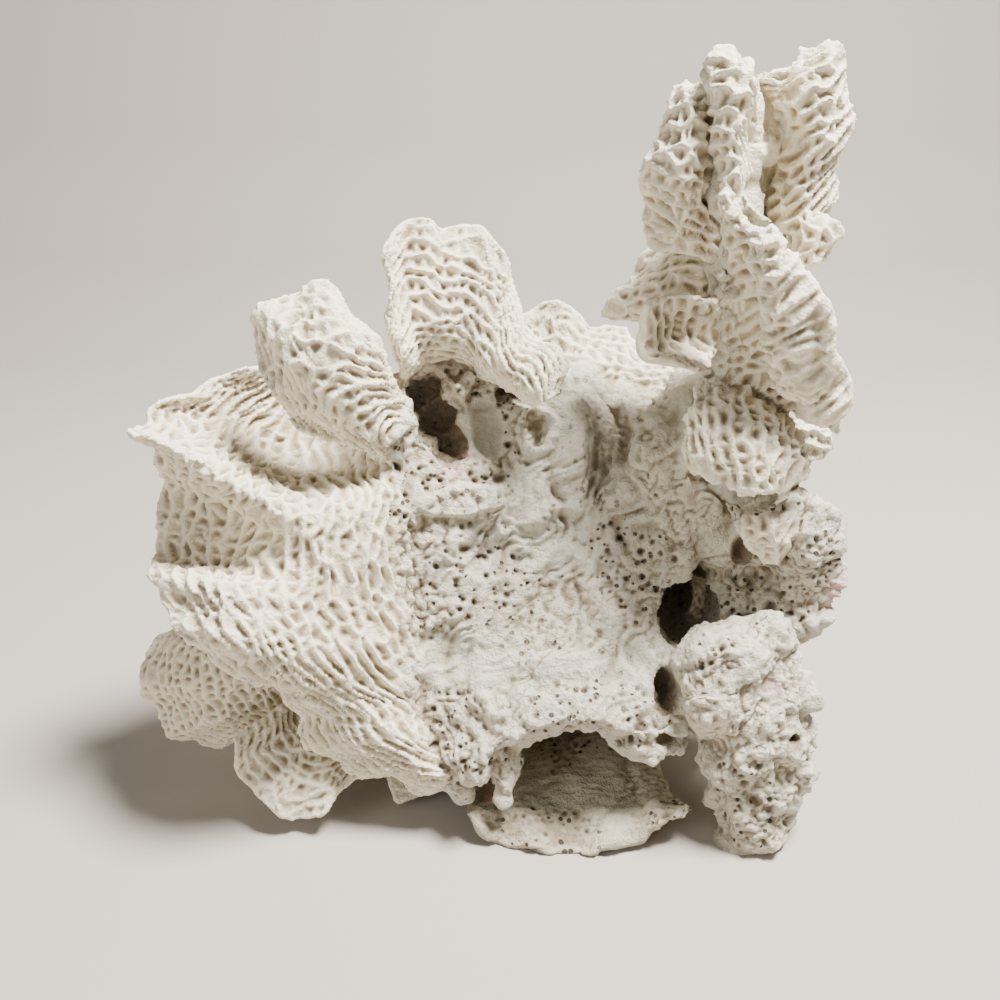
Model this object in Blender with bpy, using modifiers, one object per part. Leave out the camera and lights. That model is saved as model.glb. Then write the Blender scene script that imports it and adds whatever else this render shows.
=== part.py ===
"""Lettuce coral: a dry white skeleton that rests on a flat cut under its rock core.

The colony is built the way it grew. A porous rock core with a hollow front carries a foot, a low
plate, a ridged tower and thin leaves. It is split at its main forks, and each leaf is a solid of
its own that ends on the rock it grew from. Units are metres, +Z is up, -Y is the front, and the
origin is the centre of the flat cut.

Leaves and lumps are plotted from one place, EYE: a control point is (across, down, depth), where
across and down are read in a frame of 1000 by 1000 and depth is in millimetres behind the origin.
"""
import math

import bmesh
import bpy
import numpy as np
from mathutils import Matrix, Vector, noise

MM = 0.001
GAP = 0.0003
SLIVER = 0.000002

# Where the control points are plotted from: 285 mm up, 335 mm in front, looking down.
EYE = Vector((0.0, -0.335, 0.285))
EYE_TILT = math.radians(26)
FRAME_CENTRE = 500
FRAME_FOCAL = 973

# Leaves: thickness at the root, its share left at the rim and at the sides, and the grid steps.
LEAF_THICK = 5.0 * MM
RIM_SHARE = 0.5
SIDE_SHARE = 0.5
SIDE_TAPER = 3.0
ALONG_STEP = 6.5 * MM
ACROSS_STEP = 12.0 * MM
LEAF_VOXEL = 1.3 * MM

# Leaf relief: growth ridges, the ruffles and the small lobes of the rim.
RIDGE_RISE = 1.3 * MM
RIDGE_STAGGER = 0.25
RIDGE_START = 4.0
RUFFLE_RISE = 2.0 * MM
RUFFLE_PITCH = 26.0 * MM
RIM_SCALLOP = 2.5 * MM
SCALLOP_GRAIN = 11.0 * MM

# The low plate is thicker and almost smooth.
PLATE_THICK = 6.0 * MM
PLATE_RISE = 0.8 * MM

# Rock: how lumps and walls blend, and its roughness and knobs.
ROCK_VOXEL = 2.4 * MM
ROCK_BLEND = 4
ROCK_ROUGHNESS = 3.5 * MM
ROCK_GRAIN = 11.0 * MM
KNOB_HEIGHT = 6.0 * MM
KNOB_SPACING = 24.0 * MM
HOLLOW_THICK = 20.0 * MM
WALL_STEP = 6.0 * MM
WALL_RIM_SHARE = 0.8

# The broken plates round the back of the core, set on an upright ellipse.
BACK_CENTRE = (8, 20, 0)
BACK_RADII = (50, 36, 0)
BACK_FOOT = 0.75
TERRACE_STEP = 6
TERRACE_SWAY = 12
TERRACE_LIFT = 5.0 * MM
TERRACE_THICK = 7.0 * MM
TERRACE_RIM_SHARE = 0.6

BONE = (0.80, 0.78, 0.71, 1.0)
CHALK = (0.76, 0.73, 0.66, 1.0)
SHADE = (0.66, 0.62, 0.54, 1.0)
LEAF_ROUGHNESS = 0.9
ROCK_MATT = 0.95


def seen(across, down, depth):
    """The point at this depth that EYE sees at (across, down)."""
    right = (across - FRAME_CENTRE) / FRAME_FOCAL
    up = (FRAME_CENTRE - down) / FRAME_FOCAL
    ahead, drop = math.cos(EYE_TILT), math.sin(EYE_TILT)
    ray = Vector((right, ahead + up * drop, up * ahead - drop))
    return EYE + ray * ((depth * MM - EYE.y) / ray.y)


def smooth_through(points, count):
    """A smooth curve through rows of points, read at count even steps."""
    points = np.asarray(points, dtype=float)
    gaps = np.linalg.norm(np.diff(points, axis=0), axis=-1)
    gaps = gaps.reshape(len(gaps), -1).mean(axis=1)
    knots = np.concatenate(([0.0], np.cumsum(gaps)))
    slopes = np.gradient(points, knots, axis=0)
    at = np.linspace(0.0, knots[-1], count)
    low = np.clip(np.searchsorted(knots, at, side="right") - 1, 0, len(gaps) - 1)
    column = (-1,) + (1,) * (points.ndim - 1)
    span = gaps[low].reshape(column)
    t = ((at - knots[low]) / gaps[low]).reshape(column)
    start = (2 * t**3 - 3 * t**2 + 1) * points[low] + (t**3 - 2 * t**2 + t) * span * slopes[low]
    end = (3 * t**2 - 2 * t**3) * points[low + 1] + (t**3 - t**2) * span * slopes[low + 1]
    return start + end


def lengths(rows):
    """The length of each row of points."""
    return np.linalg.norm(np.diff(rows, axis=1), axis=2).sum(axis=1)


def surface(ribs, along_step, across_step):
    """A grid over the ribs of a leaf: first index across the ribs, second from root to rim."""
    cage = np.array([[seen(*point) for point in rib] for rib in ribs])
    along = max(4, round(lengths(cage).max() / along_step) + 1)
    grid = smooth_through(cage.swapaxes(0, 1), along).swapaxes(0, 1)
    across = max(4, round(lengths(grid.swapaxes(0, 1)).max() / across_step) + 1)
    return scalloped(smooth_through(grid, across))


def scalloped(grid):
    """The grid with its rim drawn in and out in small lobes."""
    reach = grid[:, -1] - grid[:, -2]
    reach /= np.linalg.norm(reach, axis=1, keepdims=True)
    lobes = np.array([noise.noise(Vector(place) / SCALLOP_GRAIN) for place in grid[:, -1]])
    share = np.linspace(0.0, 1.0, grid.shape[1])[None, :, None] ** 4
    return grid + share * (reach * lobes[:, None] * RIM_SCALLOP)[:, None, :]


def front_normals(grid):
    """Unit normals of the grid, on the side that EYE sees."""
    normal = np.cross(np.gradient(grid, axis=1), np.gradient(grid, axis=0))
    normal /= np.linalg.norm(normal, axis=2, keepdims=True) + 1e-12
    toward = (normal * (np.array(EYE) - grid)).sum()
    return normal if toward > 0 else -normal


def ridged(grid, rise):
    """The grid with its growth ridges, which follow the rim, and the ruffles of the rim."""
    rows, columns = grid.shape[:2]
    normal = front_normals(grid)
    v = np.linspace(0.0, 1.0, columns)[None, :]
    ridge = np.where(np.arange(columns) % 2 == 1, 1.0, -1.0)[None, :] * np.clip(RIDGE_START * v, 0, 1)
    stagger = np.where(np.arange(rows) % 2 == 1, RIDGE_STAGGER, -RIDGE_STAGGER)[:, None]
    arc = np.concatenate(([0.0], np.cumsum(np.linalg.norm(np.diff(grid[:, -1], axis=0), axis=1))))
    ruffle = np.sin(2 * math.pi * arc / RUFFLE_PITCH)[:, None] * v**3
    lift = rise * (ridge + stagger) + RUFFLE_RISE * ruffle
    return grid + normal * lift[:, :, None]


def new_object(name, mesh, collection):
    obj = bpy.data.objects.new(name, mesh)
    collection.objects.link(obj)
    return obj


def settle(obj):
    """Applies the object's modifiers to its mesh."""
    graph = bpy.context.evaluated_depsgraph_get()
    mesh = bpy.data.meshes.new_from_object(obj.evaluated_get(graph))
    obj.modifiers.clear()
    obj.data = mesh
    return obj


def keep_largest(obj):
    """Deletes slivers and every island of the mesh but the largest."""
    bm = bmesh.new()
    bm.from_mesh(obj.data)
    bmesh.ops.remove_doubles(bm, verts=bm.verts, dist=SLIVER)
    bmesh.ops.dissolve_degenerate(bm, edges=bm.edges, dist=SLIVER)
    left = set(bm.verts)
    islands = []
    while left:
        island = set()
        front = [left.pop()]
        while front:
            vertex = front.pop()
            island.add(vertex)
            for edge in vertex.link_edges:
                other = edge.other_vert(vertex)
                if other in left:
                    left.remove(other)
                    front.append(other)
        islands.append(island)
    islands.sort(key=len)
    for island in islands[:-1]:
        bmesh.ops.delete(bm, geom=list(island), context="VERTS")
    bmesh.ops.triangulate(bm, faces=bm.faces)
    bmesh.ops.recalc_face_normals(bm, faces=bm.faces)
    bm.to_mesh(obj.data)
    bm.free()
    return obj


def shell(name, grid, thick, rim_share, collection):
    """A closed leaf: the grid is its front face, and it thins towards the rim and the sides."""
    rows, columns = grid.shape[:2]
    bm = bmesh.new()
    bmesh.ops.create_grid(bm, x_segments=columns - 1, y_segments=rows - 1, size=1)
    for vertex, place in zip(bm.verts, grid.reshape(-1, 3)):
        vertex.co = place
    bm.normal_update()
    facing = sum((face.normal.dot(EYE - face.calc_center_median()) for face in bm.faces))
    if facing < 0:
        bmesh.ops.reverse_faces(bm, faces=bm.faces)
    mesh = bpy.data.meshes.new(name)
    bm.to_mesh(mesh)
    bm.free()
    obj = new_object(name, mesh, collection)
    group = obj.vertex_groups.new(name="thick")
    for row in range(rows):
        side = min(1.0, SIDE_SHARE + SIDE_TAPER * min(row, rows - 1 - row) / rows)
        for column in range(columns):
            v = column / (columns - 1)
            share = (1.0 - (1.0 - rim_share) * v) * side
            group.add([row * columns + column], share, "REPLACE")
    solid = obj.modifiers.new("Thickness", "SOLIDIFY")
    solid.thickness = thick
    solid.offset = -1.0
    solid.vertex_group = group.name
    return settle(obj)


def leaf_wall(ribs, thick=LEAF_THICK, rise=RIDGE_RISE):
    """What shell needs for a ridged leaf."""
    return ridged(surface(ribs, ALONG_STEP, ACROSS_STEP), rise), thick, RIM_SHARE


def add_lump(bm, centre, radii, knobs=0.0):
    """A rounded lump, with knobs of this height all over it."""
    matrix = Matrix.Translation(centre) @ Matrix.Diagonal((*[r * MM for r in radii], 1.0))
    made = bmesh.ops.create_icosphere(bm, subdivisions=4, radius=1.0, matrix=matrix)
    for vertex in made["verts"]:
        outward = (vertex.co - centre).normalized()
        vertex.co += outward * knobs * noise.fractal(vertex.co / KNOB_SPACING, 1.0, 2.0, 3)


def terrace(height, start, end, reach):
    """A short broken plate round the back of the core, between two bearings in degrees."""
    grid = []
    for bearing in np.radians(np.arange(start, end + 1, TERRACE_STEP)):
        out = np.array([math.cos(bearing), math.sin(bearing), 0.0])
        wave = noise.noise(Vector((math.cos(bearing), math.sin(bearing), height / 20.0)) * 3.0)
        foot = np.array(BACK_CENTRE) * MM + out * np.array(BACK_RADII) * MM * BACK_FOOT
        foot[2] = (height + TERRACE_SWAY * wave) * MM
        taper = math.sin(math.pi * (math.degrees(bearing) - start + 4) / (end - start + 8))
        tip = foot + out * (BACK_RADII[0] * (1 - BACK_FOOT) + reach * taper * (1 + wave)) * MM
        tip[2] += TERRACE_LIFT
        grid.append([foot + (tip - foot) * share for share in (0.0, 0.34, 0.67, 1.0)])
    return np.array(grid), TERRACE_THICK, TERRACE_RIM_SHARE


def grow(name, collection, triangles, walls=(), lumps=(), hidden_lumps=(), rough=0.0):
    """Walls and lumps grown together into one closed body.

    The lumps are plotted from EYE and the hidden ones by x, y and z, all with three radii.
    """
    bm = bmesh.new()
    for across, down, depth, *radii in lumps:
        add_lump(bm, seen(across, down, depth), radii)
    for x, y, z, *radii in hidden_lumps:
        add_lump(bm, Vector((x, y, z)) * MM, radii, KNOB_HEIGHT)
    for grid, thick, rim_share in walls:
        wall = shell(f"{name}_wall", grid, thick, rim_share, collection)
        bm.from_mesh(wall.data)
        bpy.data.objects.remove(wall)
    mesh = bpy.data.meshes.new(name)
    bm.to_mesh(mesh)
    bm.free()
    obj = new_object(name, mesh, collection)
    together = obj.modifiers.new("Grown together", "REMESH")
    together.mode = "VOXEL"
    together.voxel_size = ROCK_VOXEL if rough else LEAF_VOXEL
    if rough:
        blend = obj.modifiers.new("Blend", "SMOOTH")
        blend.iterations = ROCK_BLEND
        grain = bpy.data.textures.new(f"{name} grain", "CLOUDS")
        grain.noise_scale = ROCK_GRAIN
        bumps = obj.modifiers.new("Rough", "DISPLACE")
        bumps.texture = grain
        bumps.texture_coords = "GLOBAL"
        bumps.strength = rough
    settle(obj)
    count = sum(len(face.vertices) - 2 for face in obj.data.polygons)
    fewer = obj.modifiers.new("Fewer faces", "DECIMATE")
    fewer.ratio = min(1.0, triangles / count)
    return keep_largest(settle(obj))


def boolean(obj, operation, other):
    step = obj.modifiers.new(operation.title(), "BOOLEAN")
    step.operation = operation
    step.object = other
    settle(obj)


def hollow(obj, lumps, cutters):
    """Cuts rounded holes, each plotted from EYE, out of the object."""
    for number, (across, down, depth, *radii) in enumerate(lumps):
        bm = bmesh.new()
        matrix = Matrix.Translation(seen(across, down, depth))
        matrix = matrix @ Matrix.Diagonal((*[r * MM for r in radii], 1.0))
        bmesh.ops.create_icosphere(bm, subdivisions=2, radius=1.0, matrix=matrix)
        mesh = bpy.data.meshes.new(f"{obj.name}_hole_{number}")
        bm.to_mesh(mesh)
        bm.free()
        cutter = new_object(mesh.name, mesh, cutters)
        boolean(obj, "DIFFERENCE", cutter)
        bpy.data.objects.remove(cutter)
    return keep_largest(obj)


def part_from(obj, neighbours, cutters):
    """Cuts the object back to the gap in front of each neighbour, where it grew from it."""
    for mesh in neighbours:
        grown = mesh.copy()
        for vertex, normal in zip(grown.vertices, [n.vector.copy() for n in grown.vertex_normals]):
            vertex.co += normal * GAP
        cutter = new_object("grown", grown, cutters)
        boolean(obj, "DIFFERENCE", cutter)
        bpy.data.objects.remove(cutter)
    return keep_largest(obj)


def cut_flat(obj):
    """Cuts the object off flat at the floor."""
    bm = bmesh.new()
    bm.from_mesh(obj.data)
    geom = bm.verts[:] + bm.edges[:] + bm.faces[:]
    cut = bmesh.ops.bisect_plane(
        bm, geom=geom, plane_co=(0, 0, 0), plane_no=(0, 0, -1), clear_outer=True, dist=0.00001
    )
    edges = [item for item in cut["geom_cut"] if isinstance(item, bmesh.types.BMEdge)]
    bmesh.ops.triangle_fill(bm, edges=edges, use_beauty=True, use_dissolve=False)
    bm.to_mesh(obj.data)
    bm.free()
    return keep_largest(obj)


def finish(obj, colour, roughness):
    material = bpy.data.materials.new(obj.name)
    material.use_nodes = True
    shader = material.node_tree.nodes["Principled BSDF"]
    shader.inputs["Base Color"].default_value = colour
    shader.inputs["Roughness"].default_value = roughness
    shader.inputs["Metallic"].default_value = 0.0
    obj.data.materials.clear()
    obj.data.materials.append(material)


# The rock core: the hollow front wall, from its top left to its bottom right.
HOLLOW_WALL = [
    [(394, 374, 10), (388, 430, 0), (392, 490, -10), (398, 550, -14), (402, 610, -19), (410, 670, -28),
     (425, 720, -38), (445, 768, -46)],
    [(434, 352, 19), (440, 430, 8), (445, 490, -4), (448, 550, -12), (450, 610, -20), (455, 670, -30),
     (460, 720, -42), (464, 765, -52)],
    [(490, 350, 24), (500, 430, 12), (505, 490, 0), (508, 550, -8), (510, 610, -18), (512, 665, -30),
     (512, 705, -44), (508, 742, -54)],
    [(545, 370, 22), (548, 430, 12), (550, 490, 2), (550, 550, -6), (552, 605, -15), (555, 650, -28),
     (556, 690, -43), (555, 725, -54)],
    [(595, 392, 26), (595, 430, 17), (592, 490, 5), (590, 550, -4), (592, 605, -14), (595, 650, -28),
     (597, 690, -44), (598, 722, -55)],
    [(640, 402, 20), (640, 430, 12), (638, 490, 2), (636, 550, -6), (640, 605, -16), (645, 655, -30),
     (648, 700, -44), (650, 740, -53)],
    [(690, 418, 8), (690, 450, 2), (688, 490, -4), (690, 550, -12), (690, 605, -18), (690, 655, -28),
     (690, 690, -38), (690, 725, -46)],
]
CORE_LUMPS = [
    (730, 622, -8, 9, 13, 13), (702, 650, -2, 14, 12, 14), (700, 690, -14, 16, 12, 16),
    (692, 612, 26, 26, 12, 26), (730, 600, -4, 13, 12, 17), (765, 518, 2, 22, 14, 13),
    (815, 530, -12, 12, 13, 12), (806, 575, -12, 13, 12, 13), (802, 618, -14, 11, 12, 12),
    (765, 600, -4, 17, 14, 17), (745, 545, 2, 19, 15, 17), (700, 520, 6, 20, 15, 16),
    (735, 648, -8, 17, 13, 13), (690, 668, -12, 13, 12, 10), (650, 640, -8, 12, 14, 18),
    (640, 690, -30, 10, 12, 12), (475, 752, -42, 13, 11, 9), (640, 742, -44, 13, 8, 6),
    (458, 778, -42, 7, 8, 8), (506, 768, -46, 6, 6, 9), (506, 793, -52, 4, 4, 6),
    (672, 738, -40, 6, 8, 6), (428, 745, -36, 10, 8, 8),
]
CORE_HIDDEN_LUMPS = [
    (4, 20, 22, 54, 36, 36), (0, 28, 80, 44, 24, 50), (48, 24, 70, 38, 26, 46),
    (-34, 14, 62, 28, 24, 46), (66, 16, 108, 32, 22, 38), (32, 38, 126, 38, 22, 36),
    (-56, 2, 34, 34, 16, 18), (-18, 30, 130, 26, 20, 36),
]
BACK_TERRACES = [
    (20, 20, 150, 9), (48, 40, 190, 12), (74, -10, 100, 13), (98, 70, 175, 12), (120, 5, 125, 12),
    (60, -30, 20, 8), (146, 60, 150, 5),
]
CORE_HOLES = [
    (684, 604, -8, 13, 30, 14), (746, 560, -18, 4, 14, 6), (663, 695, -42, 5, 15, 8),
    (776, 645, -22, 6, 14, 9), (424, 396, 14, 8, 16, 10), (438, 422, 12, 9, 16, 9),
    (450, 444, 8, 7, 12, 8), (536, 430, 10, 6, 7, 9), (528, 393, 20, 13, 12, 3.5),
    (672, 773, -42, 4, 20, 5),
]

# The foot at the front right, a knobbly lobe that reaches the floor.
FOOT_LUMPS = [
    (726, 660, -36, 19, 15, 14), (775, 690, -38, 14, 14, 16), (738, 705, -42, 20, 15, 17),
    (776, 735, -42, 14, 14, 17), (745, 748, -44, 17, 14, 16), (788, 768, -46, 9, 10, 10),
    (765, 785, -48, 14, 13, 14), (742, 800, -47, 13, 12, 15), (758, 822, -52, 14, 11, 12),
    (738, 846, -52, 11, 9, 9), (768, 645, -32, 11, 11, 12), (702, 668, -36, 12, 11, 11),
    (702, 700, -34, 13, 12, 14),
]
FOOT_HOLES = [
    (796, 745, -56, 1.8, 9, 1.8), (757, 812, -64, 3, 8, 3),
]

# The low plate that shelves out from under the arch.
PLATE_RIBS = [
    [(490, 745, -6), (484, 765, -26), (470, 798, -42), (466, 812, -52)],
    [(512, 735, -2), (508, 758, -22), (495, 808, -46), (486, 840, -57)],
    [(540, 725, 4), (538, 748, -16), (530, 800, -42), (530, 848, -59)],
    [(572, 715, 8), (572, 736, -12), (572, 795, -40), (578, 854, -60)],
    [(606, 715, 8), (608, 738, -12), (618, 790, -40), (620, 848, -60)],
    [(638, 735, 2), (645, 755, -18), (655, 790, -40), (660, 824, -57)],
    [(660, 760, -8), (668, 778, -28), (675, 792, -42), (688, 803, -53)],
]

# The column of the tower with its front ridge, from the top peak down.
COLUMN_LUMPS = [
    (742, 540, 4, 19, 13, 18), (748, 490, 6, 17, 13, 15), (752, 440, 8, 16, 13, 16),
    (750, 395, 8, 13, 11, 14), (745, 345, 8, 12, 10, 14), (742, 300, 8, 12, 9, 14),
    (738, 255, 8, 10, 8, 13), (738, 210, 8, 9, 8, 12), (740, 165, 8, 8, 7, 12),
    (742, 120, 8, 7, 6, 12), (738, 85, 8, 6, 6, 9), (765, 150, 14, 6, 6, 14),
    (764, 110, 14, 6, 5, 12), (790, 512, 2, 10, 10, 10),
]
CREST_RIBS = [
    [(707, 62, 5), (720, 50, 0), (735, 58, 1), (748, 76, 4)],
    [(706, 85, 2), (722, 82, -8), (738, 92, -8), (751, 100, 2)],
    [(712, 120, 0), (725, 118, -12), (740, 122, -14), (752, 130, -2)],
    [(716, 160, -2), (726, 160, -14), (738, 162, -16), (748, 165, -4)],
    [(716, 195, -4), (726, 192, -16), (736, 190, -20), (743, 196, -14)],
    [(716, 225, -6), (730, 222, -18), (742, 222, -22), (751, 230, -19)],
    [(716, 255, -8), (738, 250, -18), (762, 248, -24), (783, 256, -25)],
    [(716, 285, -10), (745, 282, -16), (780, 275, -24), (813, 275, -31)],
    [(718, 315, -11), (750, 315, -14), (785, 305, -22), (821, 310, -33)],
    [(718, 345, -12), (752, 348, -12), (790, 340, -18), (826, 345, -33)],
    [(716, 372, -12), (752, 378, -10), (795, 375, -14), (839, 370, -28)],
    [(715, 390, -12), (755, 395, -10), (800, 400, -10), (850, 405, -22)],
    [(730, 402, -12), (765, 408, -9), (805, 420, -8), (838, 441, -17)],
]
TONGUE_RIBS = [
    [(702, 372, -4), (690, 400, -14), (682, 430, -18), (684, 462, -20)],
    [(716, 378, -8), (706, 415, -22), (704, 448, -28), (702, 476, -29)],
    [(736, 384, -10), (732, 420, -25), (735, 460, -32), (738, 497, -34)],
    [(756, 390, -10), (760, 425, -25), (764, 460, -32), (765, 494, -34)],
    [(772, 400, -8), (784, 430, -22), (790, 460, -28), (790, 495, -29)],
    [(786, 412, -6), (800, 432, -16), (808, 455, -20), (807, 478, -21)],
]
SHELF_RIBS = [
    [(722, 500, -14), (732, 525, -20), (752, 552, -13)],
    [(745, 505, -20), (752, 532, -26), (764, 559, -17)],
    [(775, 505, -20), (780, 532, -26), (778, 563, -17)],
    [(797, 500, -14), (802, 522, -18), (797, 549, -12)],
]
FLANGE_RIBS = [
    [(786, 422, 0), (810, 424, -2), (832, 428, 2)],
    [(788, 445, 0), (812, 444, -4), (829, 452, 2)],
    [(790, 465, 0), (808, 462, -4), (820, 464, 2)],
]

TOWER_LEFT_RIBS = [
    [(724, 80, 6), (704, 84, 4), (686, 80, 9)],
    [(726, 110, 6), (694, 108, -3), (671, 99, 6)],
    [(728, 148, 6), (688, 140, -9), (655, 132, 4)],
    [(728, 178, 6), (684, 172, -11), (641, 166, 4)],
    [(728, 205, 6), (684, 202, -9), (639, 204, 6)],
    [(726, 232, 6), (686, 228, -5), (645, 228, 6)],
    [(724, 262, 7), (690, 256, 0), (652, 248, 8)],
]
WING_RIBS = [
    [(726, 240, 15), (685, 242, 17), (654, 244, 21)],
    [(728, 268, 12), (670, 264, 10), (633, 272, 20)],
    [(728, 288, 12), (660, 287, 6), (604, 290, 16)],
    [(728, 304, 12), (662, 305, 6), (606, 316, 16)],
    [(728, 328, 12), (670, 326, 8), (640, 328, 16)],
    [(728, 350, 12), (685, 348, 10), (658, 345, 14)],
]
CUP_RIBS = [
    [(726, 303, 2), (682, 300, -2), (645, 297, -2)],
    [(728, 322, 4), (676, 322, 4), (640, 320, -6)],
    [(728, 342, 4), (680, 342, 2), (643, 346, -9)],
    [(726, 358, 2), (694, 356, -4), (662, 360, -11)],
    [(726, 372, 0), (706, 370, -9), (684, 368, -12)],
]
CROWN_RIBS = [
    [(748, 86, 13), (756, 78, 12), (764, 73, 12)],
    [(754, 94, 14), (768, 84, 9), (781, 72, 12)],
    [(758, 102, 14), (777, 90, 8), (794, 73, 13)],
    [(760, 110, 14), (786, 86, 7), (798, 47, 14)],
    [(762, 120, 14), (800, 96, 3), (817, 44, 12)],
    [(764, 132, 14), (810, 112, 2), (838, 47, 12)],
    [(766, 146, 14), (815, 128, 2), (851, 78, 14)],
    [(766, 165, 14), (814, 153, 2), (851, 128, 14)],
    [(764, 188, 13), (808, 180, 2), (846, 164, 14)],
    [(760, 212, 12), (802, 206, 2), (830, 204, 12)],
    [(756, 232, 12), (790, 232, 2), (815, 236, 8)],
]
SIDE_RIBS = [
    [(780, 218, 10), (812, 210, 0), (828, 212, 0)],
    [(778, 236, 10), (816, 232, -5), (842, 226, -2)],
    [(776, 254, 9), (812, 252, -7), (835, 246, -4)],
    [(776, 270, 8), (806, 268, -8), (828, 262, -6)],
]

# The large folded leaf at the left, from the top of its trough down to its lowest edge.
FRILL_RIBS = [
    [(398, 430, 2), (350, 405, 22), (305, 385, 28), (275, 370, 24), (262, 364, 20)],
    [(400, 442, -2), (345, 425, 17), (290, 402, 23), (240, 388, 14), (216, 380, 8)],
    [(402, 456, -6), (345, 443, 13), (280, 425, 18), (215, 408, 8), (166, 400, -2)],
    [(404, 472, -9), (345, 466, 4), (275, 452, 10), (200, 436, -4), (137, 426, -10)],
    [(406, 490, -12), (350, 494, -14), (285, 498, -24), (205, 472, -27), (148, 446, -18)],
    [(408, 510, -14), (350, 514, -24), (290, 520, -34), (215, 502, -25), (160, 478, -13)],
    [(410, 532, -16), (350, 538, -28), (288, 546, -34), (216, 530, -21), (160, 512, -11)],
    [(412, 560, -18), (350, 566, -32), (286, 573, -37), (215, 560, -27), (152, 546, -19)],
    [(414, 590, -21), (350, 597, -35), (286, 601, -42), (216, 592, -43), (154, 585, -31)],
    [(417, 620, -24), (355, 625, -38), (290, 628, -48), (232, 624, -53), (170, 618, -43)],
    [(420, 650, -27), (360, 655, -42), (300, 655, -51), (245, 653, -56), (188, 650, -50)],
    [(424, 680, -31), (365, 685, -43), (315, 682, -49), (270, 680, -51), (234, 672, -49)],
    [(428, 705, -34), (380, 705, -43), (342, 705, -46), (312, 704, -46), (288, 700, -44)],
    [(434, 725, -37), (395, 730, -46), (362, 738, -47), (332, 742, -44), (308, 746, -39)],
    [(440, 742, -40), (412, 750, -48), (388, 760, -48), (365, 766, -45), (345, 770, -41)],
    [(446, 756, -42), (430, 768, -49), (418, 776, -49), (405, 780, -47), (394, 782, -43)],
    [(452, 765, -44), (450, 776, -50), (447, 784, -50), (444, 790, -48), (440, 797, -45)],
]
UPPER_LEFT_RIBS = [
    [(410, 402, 6), (392, 376, -2), (386, 362, -2), (383, 350, 3)],
    [(408, 412, 3), (378, 365, -10), (368, 340, -10), (362, 318, 0)],
    [(406, 421, 0), (360, 368, -16), (350, 332, -14), (344, 299, 2)],
    [(404, 430, -2), (345, 375, -20), (328, 330, -17), (318, 284, 4)],
    [(403, 438, -4), (328, 382, -22), (305, 338, -18), (288, 291, 4)],
    [(402, 445, -5), (318, 390, -22), (288, 350, -17), (260, 303, 2)],
    [(401, 452, -6), (312, 400, -20), (282, 368, -14), (250, 330, -1)],
    [(401, 459, -6), (315, 414, -16), (288, 395, -12), (261, 366, -5)],
    [(401, 466, -6), (330, 430, -12), (302, 418, -11), (276, 398, -8)],
    [(401, 472, -6), (345, 445, -10), (320, 437, -10), (298, 428, -10)],
]
TOP_RIBS = [
    [(406, 388, 14), (398, 364, 1), (391, 350, 0), (387, 335, 5)],
    [(414, 384, 17), (402, 345, -2), (390, 310, 5), (390, 288, 11)],
    [(422, 380, 20), (410, 336, 3), (396, 288, 11), (386, 252, 15)],
    [(430, 378, 22), (418, 326, 7), (410, 275, 14), (414, 216, 22)],
    [(440, 376, 23), (428, 324, 9), (424, 275, 14), (428, 216, 23)],
    [(452, 376, 24), (441, 326, 10), (440, 285, 15), (440, 234, 24)],
    [(464, 376, 24), (455, 330, 11), (456, 285, 15), (462, 221, 26)],
    [(478, 380, 23), (470, 340, 11), (478, 295, 15), (488, 232, 26)],
    [(492, 386, 20), (486, 354, 7), (500, 318, 12), (512, 266, 24)],
    [(504, 392, 18), (504, 370, 3), (514, 346, 6), (522, 318, 16)],
    [(514, 398, 16), (522, 382, -2), (542, 362, 0), (560, 348, 6)],
    [(524, 404, 14), (532, 394, -5), (550, 383, -5), (567, 374, 0)],
    [(534, 410, 12), (540, 403, -6), (550, 400, -7), (562, 397, -3)],
]
LOWER_LEFT_RIBS = [
    [(318, 652, 0), (262, 634, -12), (218, 632, -14), (178, 626, -12)],
    [(318, 664, 0), (255, 655, -20), (200, 648, -22), (150, 646, -14)],
    [(318, 676, 0), (255, 676, -24), (198, 676, -26), (139, 670, -16)],
    [(318, 688, 0), (260, 696, -24), (205, 705, -26), (150, 710, -18)],
    [(318, 700, 0), (268, 712, -22), (222, 726, -24), (182, 744, -18)],
    [(318, 712, 0), (275, 722, -18), (244, 732, -20), (216, 746, -16)],
    [(318, 724, 0), (285, 728, -14), (262, 730, -16), (243, 729, -14)],
]
LOWER_FRONT_RIBS = [
    [(305, 690, -10), (266, 715, -30), (234, 737, -38)],
    [(312, 696, -10), (274, 745, -36), (240, 776, -44)],
    [(320, 700, -10), (292, 762, -41), (262, 806, -49)],
    [(330, 704, -10), (306, 768, -42), (291, 820, -51)],
    [(340, 708, -10), (322, 770, -42), (314, 816, -50)],
    [(350, 712, -10), (342, 766, -38), (345, 790, -44)],
    [(362, 718, -10), (355, 756, -34), (362, 773, -40)],
]
SMALL_RIBS = [
    [(392, 742, -10), (386, 770, -26), (387, 786, -32)],
    [(408, 742, -10), (404, 778, -30), (402, 798, -36)],
    [(428, 745, -10), (427, 776, -30), (430, 793, -36)],
    [(446, 748, -12), (446, 772, -28), (450, 786, -34)],
]
BACK_RIBS = [
    [(505, 420, 30), (500, 350, 52), (498, 320, 60)],
    [(535, 420, 30), (528, 350, 50), (528, 312, 58)],
    [(565, 420, 30), (556, 350, 48), (552, 303, 58)],
    [(595, 420, 30), (592, 355, 46), (592, 318, 58)],
    [(625, 420, 28), (620, 360, 44), (622, 330, 56)],
    [(655, 420, 26), (650, 365, 42), (650, 340, 54)],
    [(690, 420, 24), (682, 372, 40), (680, 350, 52)],
]


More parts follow.
